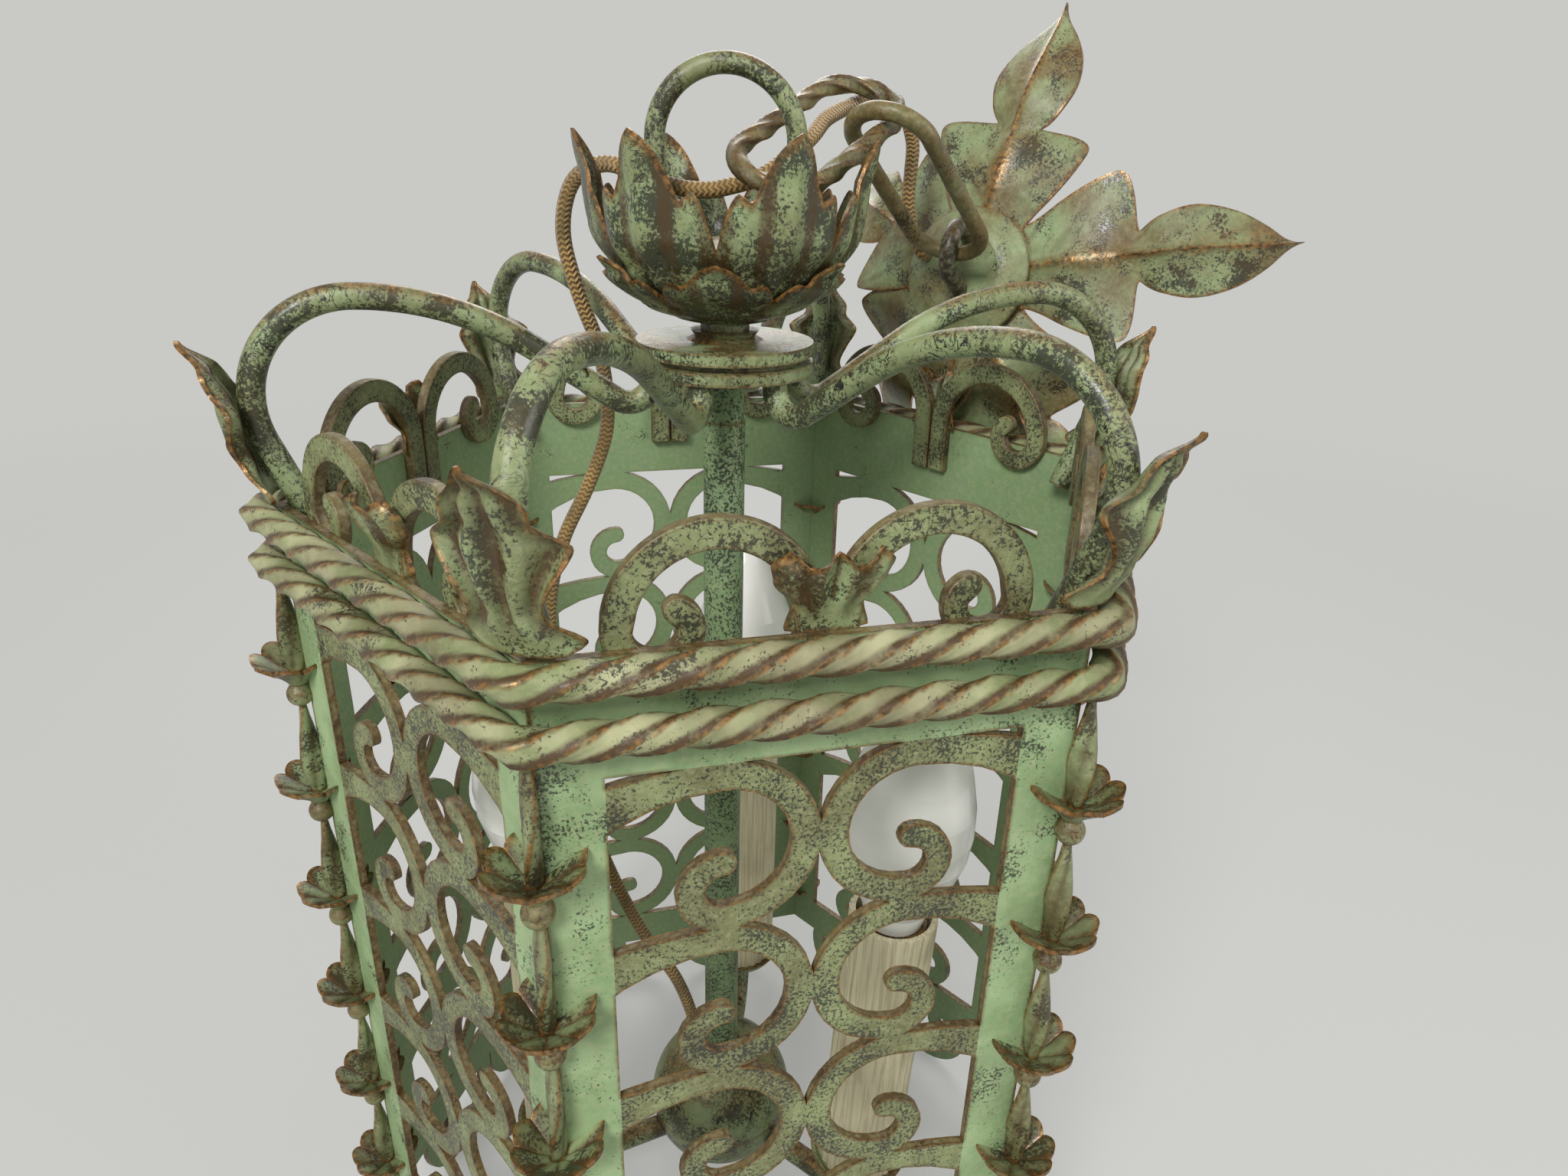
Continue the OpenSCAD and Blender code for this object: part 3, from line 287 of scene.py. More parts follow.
def ironwork(name, base, deep, speck=0.5, vein=0.0, rub=1.0, glaze=1.0, tan=0.0, rough=0.5, halo=1.0, top=0.0,
             grouped=0.5):
    """Wrought iron, sponged and glazed by hand over black primer, then rubbed back on its edges.

    The eye sees a chalky coat in two tones with clusters of black specks, crackle veins, brown glaze left in
    the hollows and beside the edges, and copper where edges and tops were rubbed. On the twisted bars the
    brown along one side of each edge is painted shade, and the copper on faces that point up is partly a
    painted highlight.
    """
    def build(tree):
        p = patterns()
        place = add(tree, "TexCoord", (), "Object")
        # Brown from the shape: glaze in the hollows, and painted shade on the twisted bars
        hollow = add(tree, "Attribute", (), "Fac", attribute_name="hollow")
        worn = add(tree, "Attribute", (), "Fac", attribute_name="wear")
        rim, near = edge_bands(tree, p.rub)
        # Patches of tone as wide as a sponge dab, and chalk on them
        patches = spots(tree, place, p.cloud, 0.38, 0.62, 3)
        chalk = spots(tree, place, p.speck * 2.2, 0.45, 0.7, 4, 0.7, most=0.4)
        # Specks come in clusters that run together: a fine and a coarse noise are mixed before the cut
        fine, coarse = (add(tree, "TexNoise", {"Vector": place, "Scale": 1 / length, "Detail": detail,
                                               "Roughness": uneven})
                        for length, detail, uneven in ((p.speck, 4, 0.72), (p.cluster, 3, 0.55)))
        both = add(tree, "Mix", {0: grouped, 2: fine, 3: coarse})
        both = add(tree, "Math", (near, 0.045 * halo, both), **SCALED_SUM)
        both = add(tree, "Math", (hollow, 0.03, both), **SCALED_SUM)
        cut, ramp_width, darkest = 0.6 - 0.08 * speck, 0.035, 0.88
        dark = add(tree, "MapRange", (both, cut, cut + ramp_width, 0, darkest))
        if vein:
            line = add(tree, "TexNoise", {"Vector": place, "Scale": 1 / p.vein, "Detail": 5, "Roughness": 0.6,
                                          "Distortion": 1.2})
            off = add(tree, "Math", (line, 0.5), operation="SUBTRACT")
            away = add(tree, "Math", (off,), operation="ABSOLUTE")
            crack = add(tree, "MapRange", (away, 0.026, 0.008))
            blot = spots(tree, place, p.vein * 0.8, 0.56, 0.61, 5, 0.74, 0.8)
            area = spots(tree, place, p.cluster * 1.3, 0.42, 0.54, most=vein)
            crackle = add(tree, "Math", (add(tree, "Math", (crack, blot), **LARGER), area), **PRODUCT)
            dark = add(tree, "Math", (dark, crackle), **LARGER)
        # Brown glaze in the hollows and beside the edges, and a thin wash over all.
        # On the twisted bars the brown from the shape is painted shade along one side of each edge.
        pooled_and_shaded = add(tree, "Math", (hollow, add(tree, "Math", (near, 0.75 * halo), **PRODUCT)), **LARGER)
        ragged = spots(tree, place, p.cluster * 0.5, 0.34, 0.6, 4, 0.7, least=0.5 * glaze, most=glaze)
        brown = add(tree, "Math", (pooled_and_shaded, ragged), **PRODUCT)
        wash = spots(tree, place, p.cloud * 1.4, 0.42, 0.62, 4, most=tan)
        # Edges and tops rubbed through to a worn copper bronze, more in some places than in others. The
        # copper on faces that point up is partly that wear and partly a painted highlight.
        rubbed = add(tree, "Math", (rim, worn), **LARGER)
        if top:
            # Painted highlight, partly wear: copper where the faces point up
            up = add(tree, "SeparateXYZ", (place.node.outputs["Normal"],), "Z")
            crown = add(tree, "MapRange", (up, 0.35, 0.85, 0, top))
            patch = spots(tree, place, p.cloud * 1.8, 0.4, 0.54, 4, 0.6)
            rubbed = add(tree, "Math", (rubbed, add(tree, "Math", (crown, patch), **PRODUCT)), **LARGER)
        broken = spots(tree, place, p.cluster * 0.7, 0.3, 0.55, 4, 0.7, least=0.3 * rub, most=rub)
        copper_wear_and_highlight = add(tree, "Math", (rubbed, broken), **PRODUCT)
        tarnish = spots(tree, place, p.speck * 1.6, 0.38, 0.62, 3)
        metal = coats(tree, tint("copper"), (tarnish, tint("umber")))
        shiny = add(tree, "Math", (dark, copper_wear_and_highlight), **LARGER)
        marks = spots(tree, place, p.hammer, 0.3, 0.7, 4, 0.6)
        relief = add(tree, "Math", (dark, -0.5, marks), **SCALED_SUM)
        return {"Base Color": coats(tree, tint(base), (patches, tint(deep)), (chalk, tint("cream")),
                                    (dark, tint("soot")), (brown, tint("umber")), (wash, tint("umber")),
                                    (copper_wear_and_highlight, metal)),
                "Metallic": add(tree, "Math", (copper_wear_and_highlight, 0.5), **PRODUCT),
                "Roughness": add(tree, "MapRange", (shiny, 0, 1, rough + 0.08, rough - 0.14)),
                "Normal": add(tree, "Bump", {"Strength": 0.36, "Distance": 0.22 * MM, "Height": relief})}
    return material(name, build)


def braided_silk():
    """Silk braided over twisted wires. Chevrons of gold strands with a soft sheen along them, and painted
    shade in brown where the weave dips between them.
    """
    def build(tree):
        p = patterns()
        strands = 6
        whole_turn = 2 * pi
        place = add(tree, "TexCoord", (), "Object")
        across = add(tree, "SeparateXYZ", (place.node.outputs["UV"],), "X")
        along = across.node.outputs["Y"]
        waves = []
        for lean in (strands, -strands):
            turn = add(tree, "Math", (across, lean * whole_turn), operation="MULTIPLY")
            run = add(tree, "Math", (along, whole_turn / p.braid, turn), **SCALED_SUM)
            waves.append(add(tree, "Math", (run,), operation="SINE"))
        turn = add(tree, "Math", (across, strands * whole_turn), operation="MULTIPLY")
        half = add(tree, "Math", (add(tree, "Math", (turn,), operation="SINE"), 0), operation="GREATER_THAN")
        weave = add(tree, "Mix", {0: half, 2: waves[0], 3: waves[1]})
        # Painted shade: the strands turn from gold to the shade colour where the weave dips
        share = add(tree, "MapRange", (weave, -0.8, 0.5))
        gold = coats(tree, tint("silk"), (spots(tree, place, p.cluster, 0.4, 0.7, 3), tint("bronze")))
        return {"Base Color": coats(tree, tint("silk_shade"), (share, gold)),
                "Roughness": 0.5, "Sheen Weight": 0.3,
                "Normal": add(tree, "Bump", {"Strength": 0.7, "Distance": 0.3 * MM, "Height": weave})}
    return material("Braided gold silk over wire", build)


def sleeve_card():
    """Fluted card of a candle sleeve, waxed ivory: fine upright ribs, with painted shade in their grooves."""
    def build(tree):
        rib = 0.9 * MM
        place = add(tree, "TexCoord", (), "Object")
        upright = add(tree, "Mapping", {"Vector": place, "Scale": (1, 1, 0.03)})
        streak = spots(tree, upright, rib, 0.46, 0.6)
        # Painted shade: the card shade colour laid in streaks for the grooves between the ribs
        groove = add(tree, "Math", (streak, 0.35), **PRODUCT)
        stain = spots(tree, place, patterns().cloud, 0.5, 0.75, 4, most=0.3)
        layers = (groove, tint("card_shade")), (stain, tint("bronze"))
        return {"Base Color": coats(tree, tint("card"), *layers),
                "Roughness": 0.48,
                "Normal": add(tree, "Bump", {"Strength": 0.3, "Distance": 0.15 * MM, "Height": streak})}
    return material("Waxed ivory card", build)


def opal_glass():
    """Blown opal glass of the bulbs, unprinted: milk white, with light in its depth and a soft gloss."""
    def build(tree):
        dust = spots(tree, add(tree, "TexCoord", (), "Object"), patterns().cloud, 0.5, 0.8, 4)
        veil = add(tree, "Math", (dust, 0.12), **PRODUCT)
        return {"Base Color": coats(tree, tint("opal"), (veil, tint("card"))),
                "Roughness": add(tree, "MapRange", (dust, 0, 1, 0.2, 0.34)),
                "Subsurface Weight": 0.25, "Subsurface Radius": (2 * MM, 2 * MM, 2 * MM), "IOR": 1.5}
    return material("Opal blown glass", build)


# Shapes


def polar(angle, radius=1.0, z=0.0):
    """A point by its angle in radians, its distance from the axis and its height."""
    return radius * cos(angle), radius * sin(angle), z


def turn_z(point, degrees):
    """The point, turned round the upright axis."""
    a = radians(degrees)
    x, y, z = point
    return Vector((x * cos(a) - y * sin(a), x * sin(a) + y * cos(a), z))


def laid(middle, turns):
    """How a piece lies: its middle in mm, and its turns in degrees round x, y and z."""
    x, y, z = (Matrix.Rotation(radians(turn), 4, axis) for turn, axis in zip(turns, "XYZ"))
    return Matrix.Translation(Vector(middle) * MM) @ z @ y @ x


def arc(centre, radius, start, end, steps):
    """Points along an arc in a plane, from angle start to end in degrees."""
    angles = [radians(start + (end - start) * i / steps) for i in range(steps + 1)]
    return [(centre[0] + radius * cos(a), centre[1] + radius * sin(a)) for a in angles]


def step(t, low, high):
    """Rises smoothly from 0 to 1 while t goes from low to high."""
    u = min(1, max(0, (t - low) / (high - low)))
    return u * u * (3 - 2 * u)


def ramp(stops, t):
    """Height of a smooth line through (position, value) pairs, level at each."""
    return stops[0][1] + sum((high - low) * step(t, a, b) for (a, low), (b, high) in zip(stops, stops[1:]))


def curve(stops, t):
    """Height of a rounded curve through (position, value) pairs, which turns evenly at each."""
    last = len(stops) - 1
    around = [(stops[max(0, i - 1)], stops[min(last, i + 1)]) for i in range(last + 1)]
    slope = [(after[1] - before[1]) / (after[0] - before[0]) for before, after in around]
    i = next((i for i in range(last) if t <= stops[i + 1][0]), last - 1)
    (a, low), (b, high) = stops[i], stops[i + 1]
    d = b - a
    u = min(1, max(0, (t - a) / d))
    return ((2 * u ** 3 - 3 * u * u + 1) * low + (u ** 3 - 2 * u * u + u) * d * slope[i]
            + (3 * u * u - 2 * u ** 3) * high + (u ** 3 - u * u) * d * slope[i + 1])


class Shape:
    """Gathers the points and faces of one piece, with how rubbed each point is and how much brown it
    takes: glaze in the hollows, and painted shade on the twisted bars.
    """

    def __init__(self):
        self.points, self.wear, self.hollow, self.faces, self.places = [], [], [], [], []

    def sweep(self, rings, loop=False, closed=True, along=None):
        """Joins rings of (point, wear, brown glaze and painted shade) into a skin.
        loop joins the last ring to the first.
        """
        start, n, m = len(self.points), len(rings), len(rings[0])
        for ring in rings:
            for point, wear, hollow in ring:
                self.points.append(tuple(point))
                self.wear.append(wear)
                self.hollow.append(hollow)

        def at(i, j):
            return start + (i % n) * m + j % m

        for i in range(n if loop else n - 1):
            low, high = (along[i], along[i + 1]) if along else (0, 0)
            for j in range(m if closed else m - 1):
                left, right = j / m, (j + 1) / m
                self.faces.append((at(i, j), at(i, j + 1), at(i + 1, j + 1), at(i + 1, j)))
                self.places.append(((left, low), (right, low), (right, high), (left, high)))
        if closed and not loop:
            for i, order in ((0, range(m - 1, -1, -1)), (n - 1, range(m))):
                self.faces.append(tuple(at(i, j) for j in order))
                self.places.append(((0, 0),) * m)
        return self

    def sheet(self, spot, rows, cols, first, last, foot=0.0):
        """A leaf of sheet metal. spot(u, v, lift) gives both its sides, and v goes from foot to 1."""
        across = [2 * j / cols - 1 for j in range(cols + 1)]
        up = [foot + (1 - foot) * i / rows for i in range(rows + 1)]
        rings = [[spot(u, v, first) for u in across] + [spot(-u, v, last) for u in across] for v in up]
        return self.sweep(rings)

    def make(self, name, item, sharp=CHASED):
        """The Blender object of the gathered shape, in one material."""
        mesh = bpy.data.meshes.new(name)
        mesh.from_pydata(self.points, [], self.faces)
        for key, values in (("wear", self.wear), ("hollow", self.hollow)):
            mesh.attributes.new(key, "FLOAT", "POINT").data.foreach_set("value", values)
        lay = mesh.uv_layers.new(name="lay")
        lay.data.foreach_set("uv", [x for face in self.places for place in face for x in place])
        return finished(name, mesh, [item], sharp)


def finished(name, mesh, materials, sharp):
    """Joins doubled points, turns the faces outwards, shades smooth up to an angle and links the object."""
    bm = bmesh.new()
    bm.from_mesh(mesh)
    bmesh.ops.remove_doubles(bm, verts=bm.verts, dist=0.002 * MM)
    bmesh.ops.recalc_face_normals(bm, faces=bm.faces)
    bm.to_mesh(mesh)
    bm.free()
    coat(mesh, materials, sharp)
    piece = bpy.data.objects.new(name, mesh)
    bpy.context.scene.collection.objects.link(piece)
    return piece


def coat(mesh, materials, sharp):
    """Gives a mesh its materials, and shades it smooth up to an angle."""
    for item in materials:
        mesh.materials.append(item)
    mesh.shade_smooth()
    mesh.set_sharp_from_angle(angle=radians(sharp))


def dress(node, item):
    """Gives a CAD node that stays its material."""
    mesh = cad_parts[node].data
    mesh.materials.clear()
    coat(mesh, [item], CUT)


def round_edges(piece, width):
    """Breaks the sharp edges of a cut plate."""
    bevel = piece.modifiers.new("edges", "BEVEL")
    bevel.width, bevel.segments, bevel.angle_limit = width, 2, radians(40)
    bevel.harden_normals = True


def place(piece, slot, node, body="lantern"):
    """Puts a piece on its body, in place of its CAD node."""
    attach(piece, body)
    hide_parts(node)


def cross_frames(path, first, last):
    """Points of a path, each with two vectors across it, without twist. The ends point to first and last."""
    out, across = [], None
    end = len(path) - 1
    for i, point in enumerate(path):
        ahead = path[min(end, i + 1)] - path[max(0, i - 1)]
        if i in (0, end):
            ahead = Vector(last if i else first)
        ahead.normalize()
        aside = ahead.cross(Vector((0.3, 0.9, 0.2)))
        across = aside if across is None else across - across.dot(ahead) * ahead
        across.normalize()
        out.append((point, across.copy(), ahead.cross(across)))
    return out


def bar_section(side, turn):
    """Section of a square bar with its edges worn round, as (angle, radius, wear, painted shade).
    The shade is a brown band along one side of each edge.
    """
    steps, worn = 24, 0.91
    half, corner = side / 2, side / 2 * sqrt(2)
    out = []
    for i in range(steps):
        a = 2 * pi * i / steps
        flat = half / max(abs(cos(a - turn)), abs(sin(a - turn)))
        off = ((a - turn) / (pi / 2) + 0.5) % 1 - 0.5
        ridge = 1 - step(abs(abs(off) - 0.5), 0.03, 0.1)
        # Painted shade: a brown band along one side of each edge, the same side for every edge
        shade = 1 - step(abs((off + 0.5) % 1 - 0.16), 0.06, 0.3)
        out.append((a, min(flat, worn * corner), ridge, shade))
    return out


def ring_round(middle, out, section, lie=Matrix()):
    """A section round the middle of a bar that bends in the level plane, laid as lie says."""
    return [(lie @ (middle + radius * (cos(a) * out + Vector((0, 0, sin(a))))), wear, hollow)
            for a, radius, wear, hollow in section]


# Pieces


class MakeView(bpy.types.Operator):
    """Sets the camera where the photographer held it"""
    bl_idname = "lantern.make_view"
    bl_label = "Camera"

    place = (-52.823 * MM, -247.489 * MM, 337.786 * MM)
    yaw, tilt, roll = -15.815, 23.57, 1.819
    sensor, focal_share = 36.0, 1309.32 / 2048

    def execute(self, context):
        yaw, tip, roll = (Matrix.Rotation(radians(turn), 4, axis)
                          for turn, axis in ((self.yaw, "Z"), (90 - self.tilt, "X"), (self.roll, "Z")))
        data = bpy.data.cameras.new("camera")
        data.sensor_width, data.lens = self.sensor, self.sensor * self.focal_share
        data.clip_start, data.clip_end = 0.01, 20
        camera = bpy.data.objects.new("camera", data)
        camera.matrix_world = Matrix.Translation(self.place) @ yaw @ tip @ roll
        context.scene.collection.objects.link(camera)
        context.scene.camera = camera
        return {"FINISHED"}


class MakeFlex(bpy.types.Operator):
    """Braids the flex from the hub up into the cup and along the chain to the ceiling rose"""
    bl_idname = "lantern.make_flex"
    bl_label = "Flex"

    # The four stretches in mm, and the directions in which the flex passes from each to the next
    drop = [(-9, 6, 58.8), (-9, 6, 66), (-14, 8, 82), (-24, 12, 100), (-34, 16, 126), (-42, 20, 156),
            (-46, 24, 188), (-46, 27, 214), (-41, 31, 232), (-33, 34, 247), (-27, 37, 261), (-26, 38, 273),
            (-28, 36, 287), (-33, 33, 302), (-36, 32, 317), (-33, 30, 329), (-25, 25, 333.5),
            (-15.5, 17.5, 330.5), (-7, 13, 328.5), (-0.5, 10.5, 328.5)]
    cup = [(-0.5, 10.5, 328.5), (10, 9, 331.5), (18.5, 11.5, 336.5), (25.5, 17, 341), (31.5, 24.5, 345.5),
           (39, 32.5, 348.5)]
    chain = [(39, 32.5, 348.5), (48, 39.5, 351), (57, 44.5, 350.5), (63.5, 49, 347)]
    rose = [(63.5, 49, 347), (67, 52.5, 340.5), (68, 55, 333), (68.5, 56.5, 325), (70.5, 57, 317),
            (73.5, 56.5, 311), (76.5, 58.5, 309)]
    up, into_cup, over_link = (0, 0, 1), (17, -4, 3), (16.5, 15, 5.5)
    down_chain, into_dome = (10, 8, -10), (3, 2.2, -0.8)
    steps, around = 8, 20

    def route(self, stations):
        """Points of a smooth curve through the stations, in metres."""
        p = [Vector(s) * MM for s in stations]
        out = []
        for i in range(len(p) - 1):
            a, b, c, d = p[max(0, i - 1)], p[i], p[i + 1], p[min(len(p) - 1, i + 2)]
            for k in range(self.steps):
                f = k / self.steps
                out.append(0.5 * (2 * b + (c - a) * f + (2 * a - 5 * b + 4 * c - d) * f * f
                                  + (3 * b - a - 3 * c + d) * f ** 3))
        return out + [p[-1]]

    def strand(self, name, path, first, last):
        """The braided tube along a path, and its length."""
        radius = sizes().flex_d / 2
        turns = [2 * pi * j / self.around for j in range(self.around)]
        run = [0.0]
        for a, b in zip(path, path[1:]):
            run.append(run[-1] + (b - a).length)
        tube = [[(point + radius * (cos(a) * x + sin(a) * y), 0, 0) for a in turns]
                for point, x, y in cross_frames(path, first, last)]
        return Shape().sweep(tube, along=run).make(name, braided_silk()), run[-1]

    def execute(self, context):
        upper, lower = "link_upper_body", "link_lower_body"
        parts = [("flex_drop", self.drop, self.up, self.into_cup, None),
                 ("flex_cup", self.cup, self.into_cup, self.over_link, ("lantern", upper)),
                 ("flex_chain", self.chain, self.over_link, self.down_chain, (upper, lower)),
                 ("flex_rose", self.rose, self.down_chain, self.into_dome, (lower, "rose_body"))]
        for node, stations, first, last, bodies in parts:
            path = self.route(stations)
            piece, length = self.strand(node + "_braid", path, first, last)
            if bodies:
                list(bodies)
                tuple(path[0])
                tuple(path[-1])
                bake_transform(piece)
            else:
                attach(piece, "lantern")
            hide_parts(node)
            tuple(path[0])
        return {"FINISHED"}


class MakePanels(bpy.types.Operator):
    """Rounds and paints the six cut scrollwork panels"""
    bl_idname = "lantern.make_panels"
    bl_label = "Panels"

    def plate(self, node, k):
        """A copy of the CAD panel, cut where its finish changes."""
        s = sizes()
        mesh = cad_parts[node].data.copy()
        mesh.materials.clear()
        bm = bmesh.new()
        bm.from_mesh(mesh)
        bmesh.ops.remove_doubles(bm, verts=bm.verts, dist=0.01 * MM)
        out, across, up = turn_z((0, -1, 0), 60 * k), turn_z((1, 0, 0), 60 * k), Vector((0, 0, 1))
        open_x = SIDE / 2 - s.stile_w
        low, high = RAIL_LOW + s.rail_h, BAND_TOP - s.band_h
        cuts = [(across * open_x, across), (-across * open_x, across)]
        cuts += [(up * z, up) for z in (low, high, RAIL_LOW)]
        for point, normal in cuts:
            bmesh.ops.bisect_plane(bm, geom=bm.verts[:] + bm.edges[:] + bm.faces[:], plane_co=point,
                                   plane_no=normal, dist=0.001 * MM)
        plain, scroll, inner, edge = range(4)
        for side in bm.faces:
            middle, facing = side.calc_center_median(), side.normal.dot(out)
            lattice = abs(middle.dot(across)) < open_x and (low < middle.z < high or middle.z < RAIL_LOW)
            front = scroll if lattice else plain
            side.material_index = inner if facing < -0.5 else edge if facing < 0.5 else front
        bmesh.ops.dissolve_limit(bm, angle_limit=radians(1), verts=bm.verts, edges=bm.edges,
                                 delimit={"MATERIAL"})
        bm.to_mesh(mesh)
        bm.free()
        finishes = [iron(finish) for finish in ("plate", "scroll", "inner", "edge")]
        return finished(node + "_plate", mesh, finishes, CUT)

    def execute(self, context):
        for k, face in enumerate(FACES):
            node = "panel_" + face
            piece = self.plate(node, k)
            round_edges(piece, sizes().edge)
            place(piece, "iron_green", node)
        return {"FINISHED"}


class MakeCrests(bpy.types.Operator):
    """Cuts the crest scrolls and chases the three-lobed leaf in their middle"""
    bl_idname = "lantern.make_crests"
    bl_label = "Crests"

    turn_r, curl_r, tip_r, tip_reach = 9.3 * MM, 6.3 * MM, 2.6 * MM, 3.7 * MM

    def outline(self):
        """Half of a crest, its leg beside the middle of the side and its curl towards the corner."""
        s = sizes()
        r, w = s.crest_r, s.crest_w
        middle, low = SIDE / 2 - 0.3 * MM - r, CREST_RISE - r
        turn_x = middle - r + self.turn_r
        curl_x = turn_x + self.turn_r - self.curl_r
        lean = radians(70)
        tip = (curl_x + self.tip_reach * cos(lean), low + self.tip_reach * sin(lean))
        return ([(middle + r, -s.crest_leg), (middle + r, low)] + arc((middle, low), r, 10, 170, 40)
                + arc((turn_x, low), self.turn_r, 180, 360, 28) + arc((curl_x, low), self.curl_r, 15, 70, 8)
                + arc(tip, self.tip_r, 100, 220, 10)
                + arc((turn_x + 0.3 * MM, low), self.turn_r - w + 0.6 * MM, 360, 180, 22)
                + arc((middle, low), r - w, 165, 0, 34) + [(middle + r - w, -s.crest_leg)])

    def scrolls(self, name, k):
        """The two bars of a crest, as mirrored halves."""
        s = sizes()
        bm = bmesh.new()
        for mirror in (-1, 1):
            row = [(mirror * (SIDE / 2 - x), z) for x, z in self.outline()]
            front, back = ([bm.verts.new(turn_z((x, -APOTHEM + s.plate_t + y, BAND_TOP + z), 60 * k))
                            for x, z in row] for y in (0, s.crest_t))
            bm.faces.new(front)
            bm.faces.new(back)
            for corners in zip(front, front[1:] + front[:1], back[1:] + back[:1], back):
                bm.faces.new(corners).material_index = 1
        mesh = bpy.data.meshes.new(name)
        bm.to_mesh(mesh)
        bm.free()
        piece = finished(name, mesh, [iron("scroll"), iron("edge")], CUT)
        round_edges(piece, s.edge * 1.2)
        return piece

    def leaf(self, name, k):
        s = sizes()
        # Half its width up its height, in mm
        half = [(0, 8), (0.3, 6.8), (0.6, 10.6), (0.82, 11.4), (1, 8.4)]

        def spot(u, v, lift):
            w = ramp(half, v) * MM
            notch = 1.6 * MM * (1 - cos(2 * pi * u)) * v
            flute = 0.8 * MM * (1 - cos(4 * pi * u)) * step(v, 0.1, 0.6)
            y = s.plate_t + lift - (0.5 + 4.4 * v * v - 1.6 * u * u) * MM - flute
            groove = 1 - step(abs(abs(u) - 0.5), 0.06, 0.26)
            rim = max(step(abs(u), 0.8, 0.97), step(v, 0.88, 0.99))
            return (turn_z((u * w, -APOTHEM + y, BAND_TOP + v * s.crest_leaf_h - notch), 60 * k),
                    rim, groove * step(v, 0.05, 0.4))

        return Shape().sheet(spot, rows=24, cols=16, first=0, last=s.leaf_t).make(name, iron("leaf"))

    def execute(self, context):
        for k, face in enumerate(FACES):
            node = "crest_" + face
            place(self.scrolls(node + "_scrolls", k), "iron_olive", node)
            place(self.leaf(node + "_leaf", k), "iron_green", node)
        return {"FINISHED"}


class MakeArms(bpy.types.Operator):
    """Paints the six arched arms"""
    bl_idname = "lantern.make_arms"
    bl_label = "Arms"

    def execute(self, context):
        for corner in CORNERS:
            dress("arm_" + corner, iron("rod"))
        return {"FINISHED"}


class MakeCornerLeaves(bpy.types.Operator):
    """Chases the fluted leaves that wrap the ends of the arms"""
    bl_idname = "lantern.make_corner_leaves"
    bl_label = "Corner leaves"

    # Half the width up the leaf, as a share of its whole width
    half = [(0, 0.3), (0.06, 0.43), (0.13, 0.41), (0.25, 0.27), (0.4, 0.34), (0.54, 0.46), (0.6, 0.48),
            (0.65, 0.4), (0.7, 0.3), (0.8, 0.28), (0.9, 0.13), (0.96, 0.05), (1, 0.01)]

    def leaf(self, corner, angle):
        s = sizes()
        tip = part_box("leaf_right")[1].x / MM
        base, peak = SIDE / MM - 2.9, tip - 10.4
        # How far out the leaf stands, up its height, in mm
        out = [(0, base + 2.8), (0.22, base + 4.9), (0.42, peak - 0.2), (0.62, peak + 0.6),
               (0.84, peak + 3.6), (1, peak + 8.8)]

        def spot(u, v, lift):
            w = s.leaf_w / MM * curve(self.half, v)
            swell = sin(pi * v)
            flute = 1.45 * swell * (1 - cos(3 * pi * u)) - 0.4 * swell
            lip = 0.9 * step(abs(u), 0.8, 1) * swell
            x = ramp(out, v) + flute + lip - 0.035 * (u * w) ** 2 + 0.4
            groove = (1 + cos(3 * pi * u)) / 2
            rim = max(step(abs(u), 0.86, 0.97) * (0.4 + 0.6 * swell), step(v, 0.93, 0.99))
            point = Vector((x * MM + lift, u * w * MM, BAND_TOP + (2 + v * (s.leaf_tip_h / MM - 2)) * MM))
            lobe_tip = step(abs(u), 0.7, 0.95) * step(v, 0.55, 0.64) * (1 - step(v, 0.7, 0.76))
            tipped = max(step(v, 0.8, 0.95), lobe_tip)
            return turn_z(point, angle), rim, max(groove ** 1.5 * step(v, 0.03, 0.2), 0.7 * tipped)

        shape = Shape().sheet(spot, rows=48, cols=32, first=s.leaf_t, last=0)
        return shape.make("leaf_" + corner + "_chased", iron("leaf"))

    def execute(self, context):
        for corner, angle in CORNERS.items():
            place(self.leaf(corner, angle), "iron_green", "leaf_" + corner)
        return {"FINISHED"}


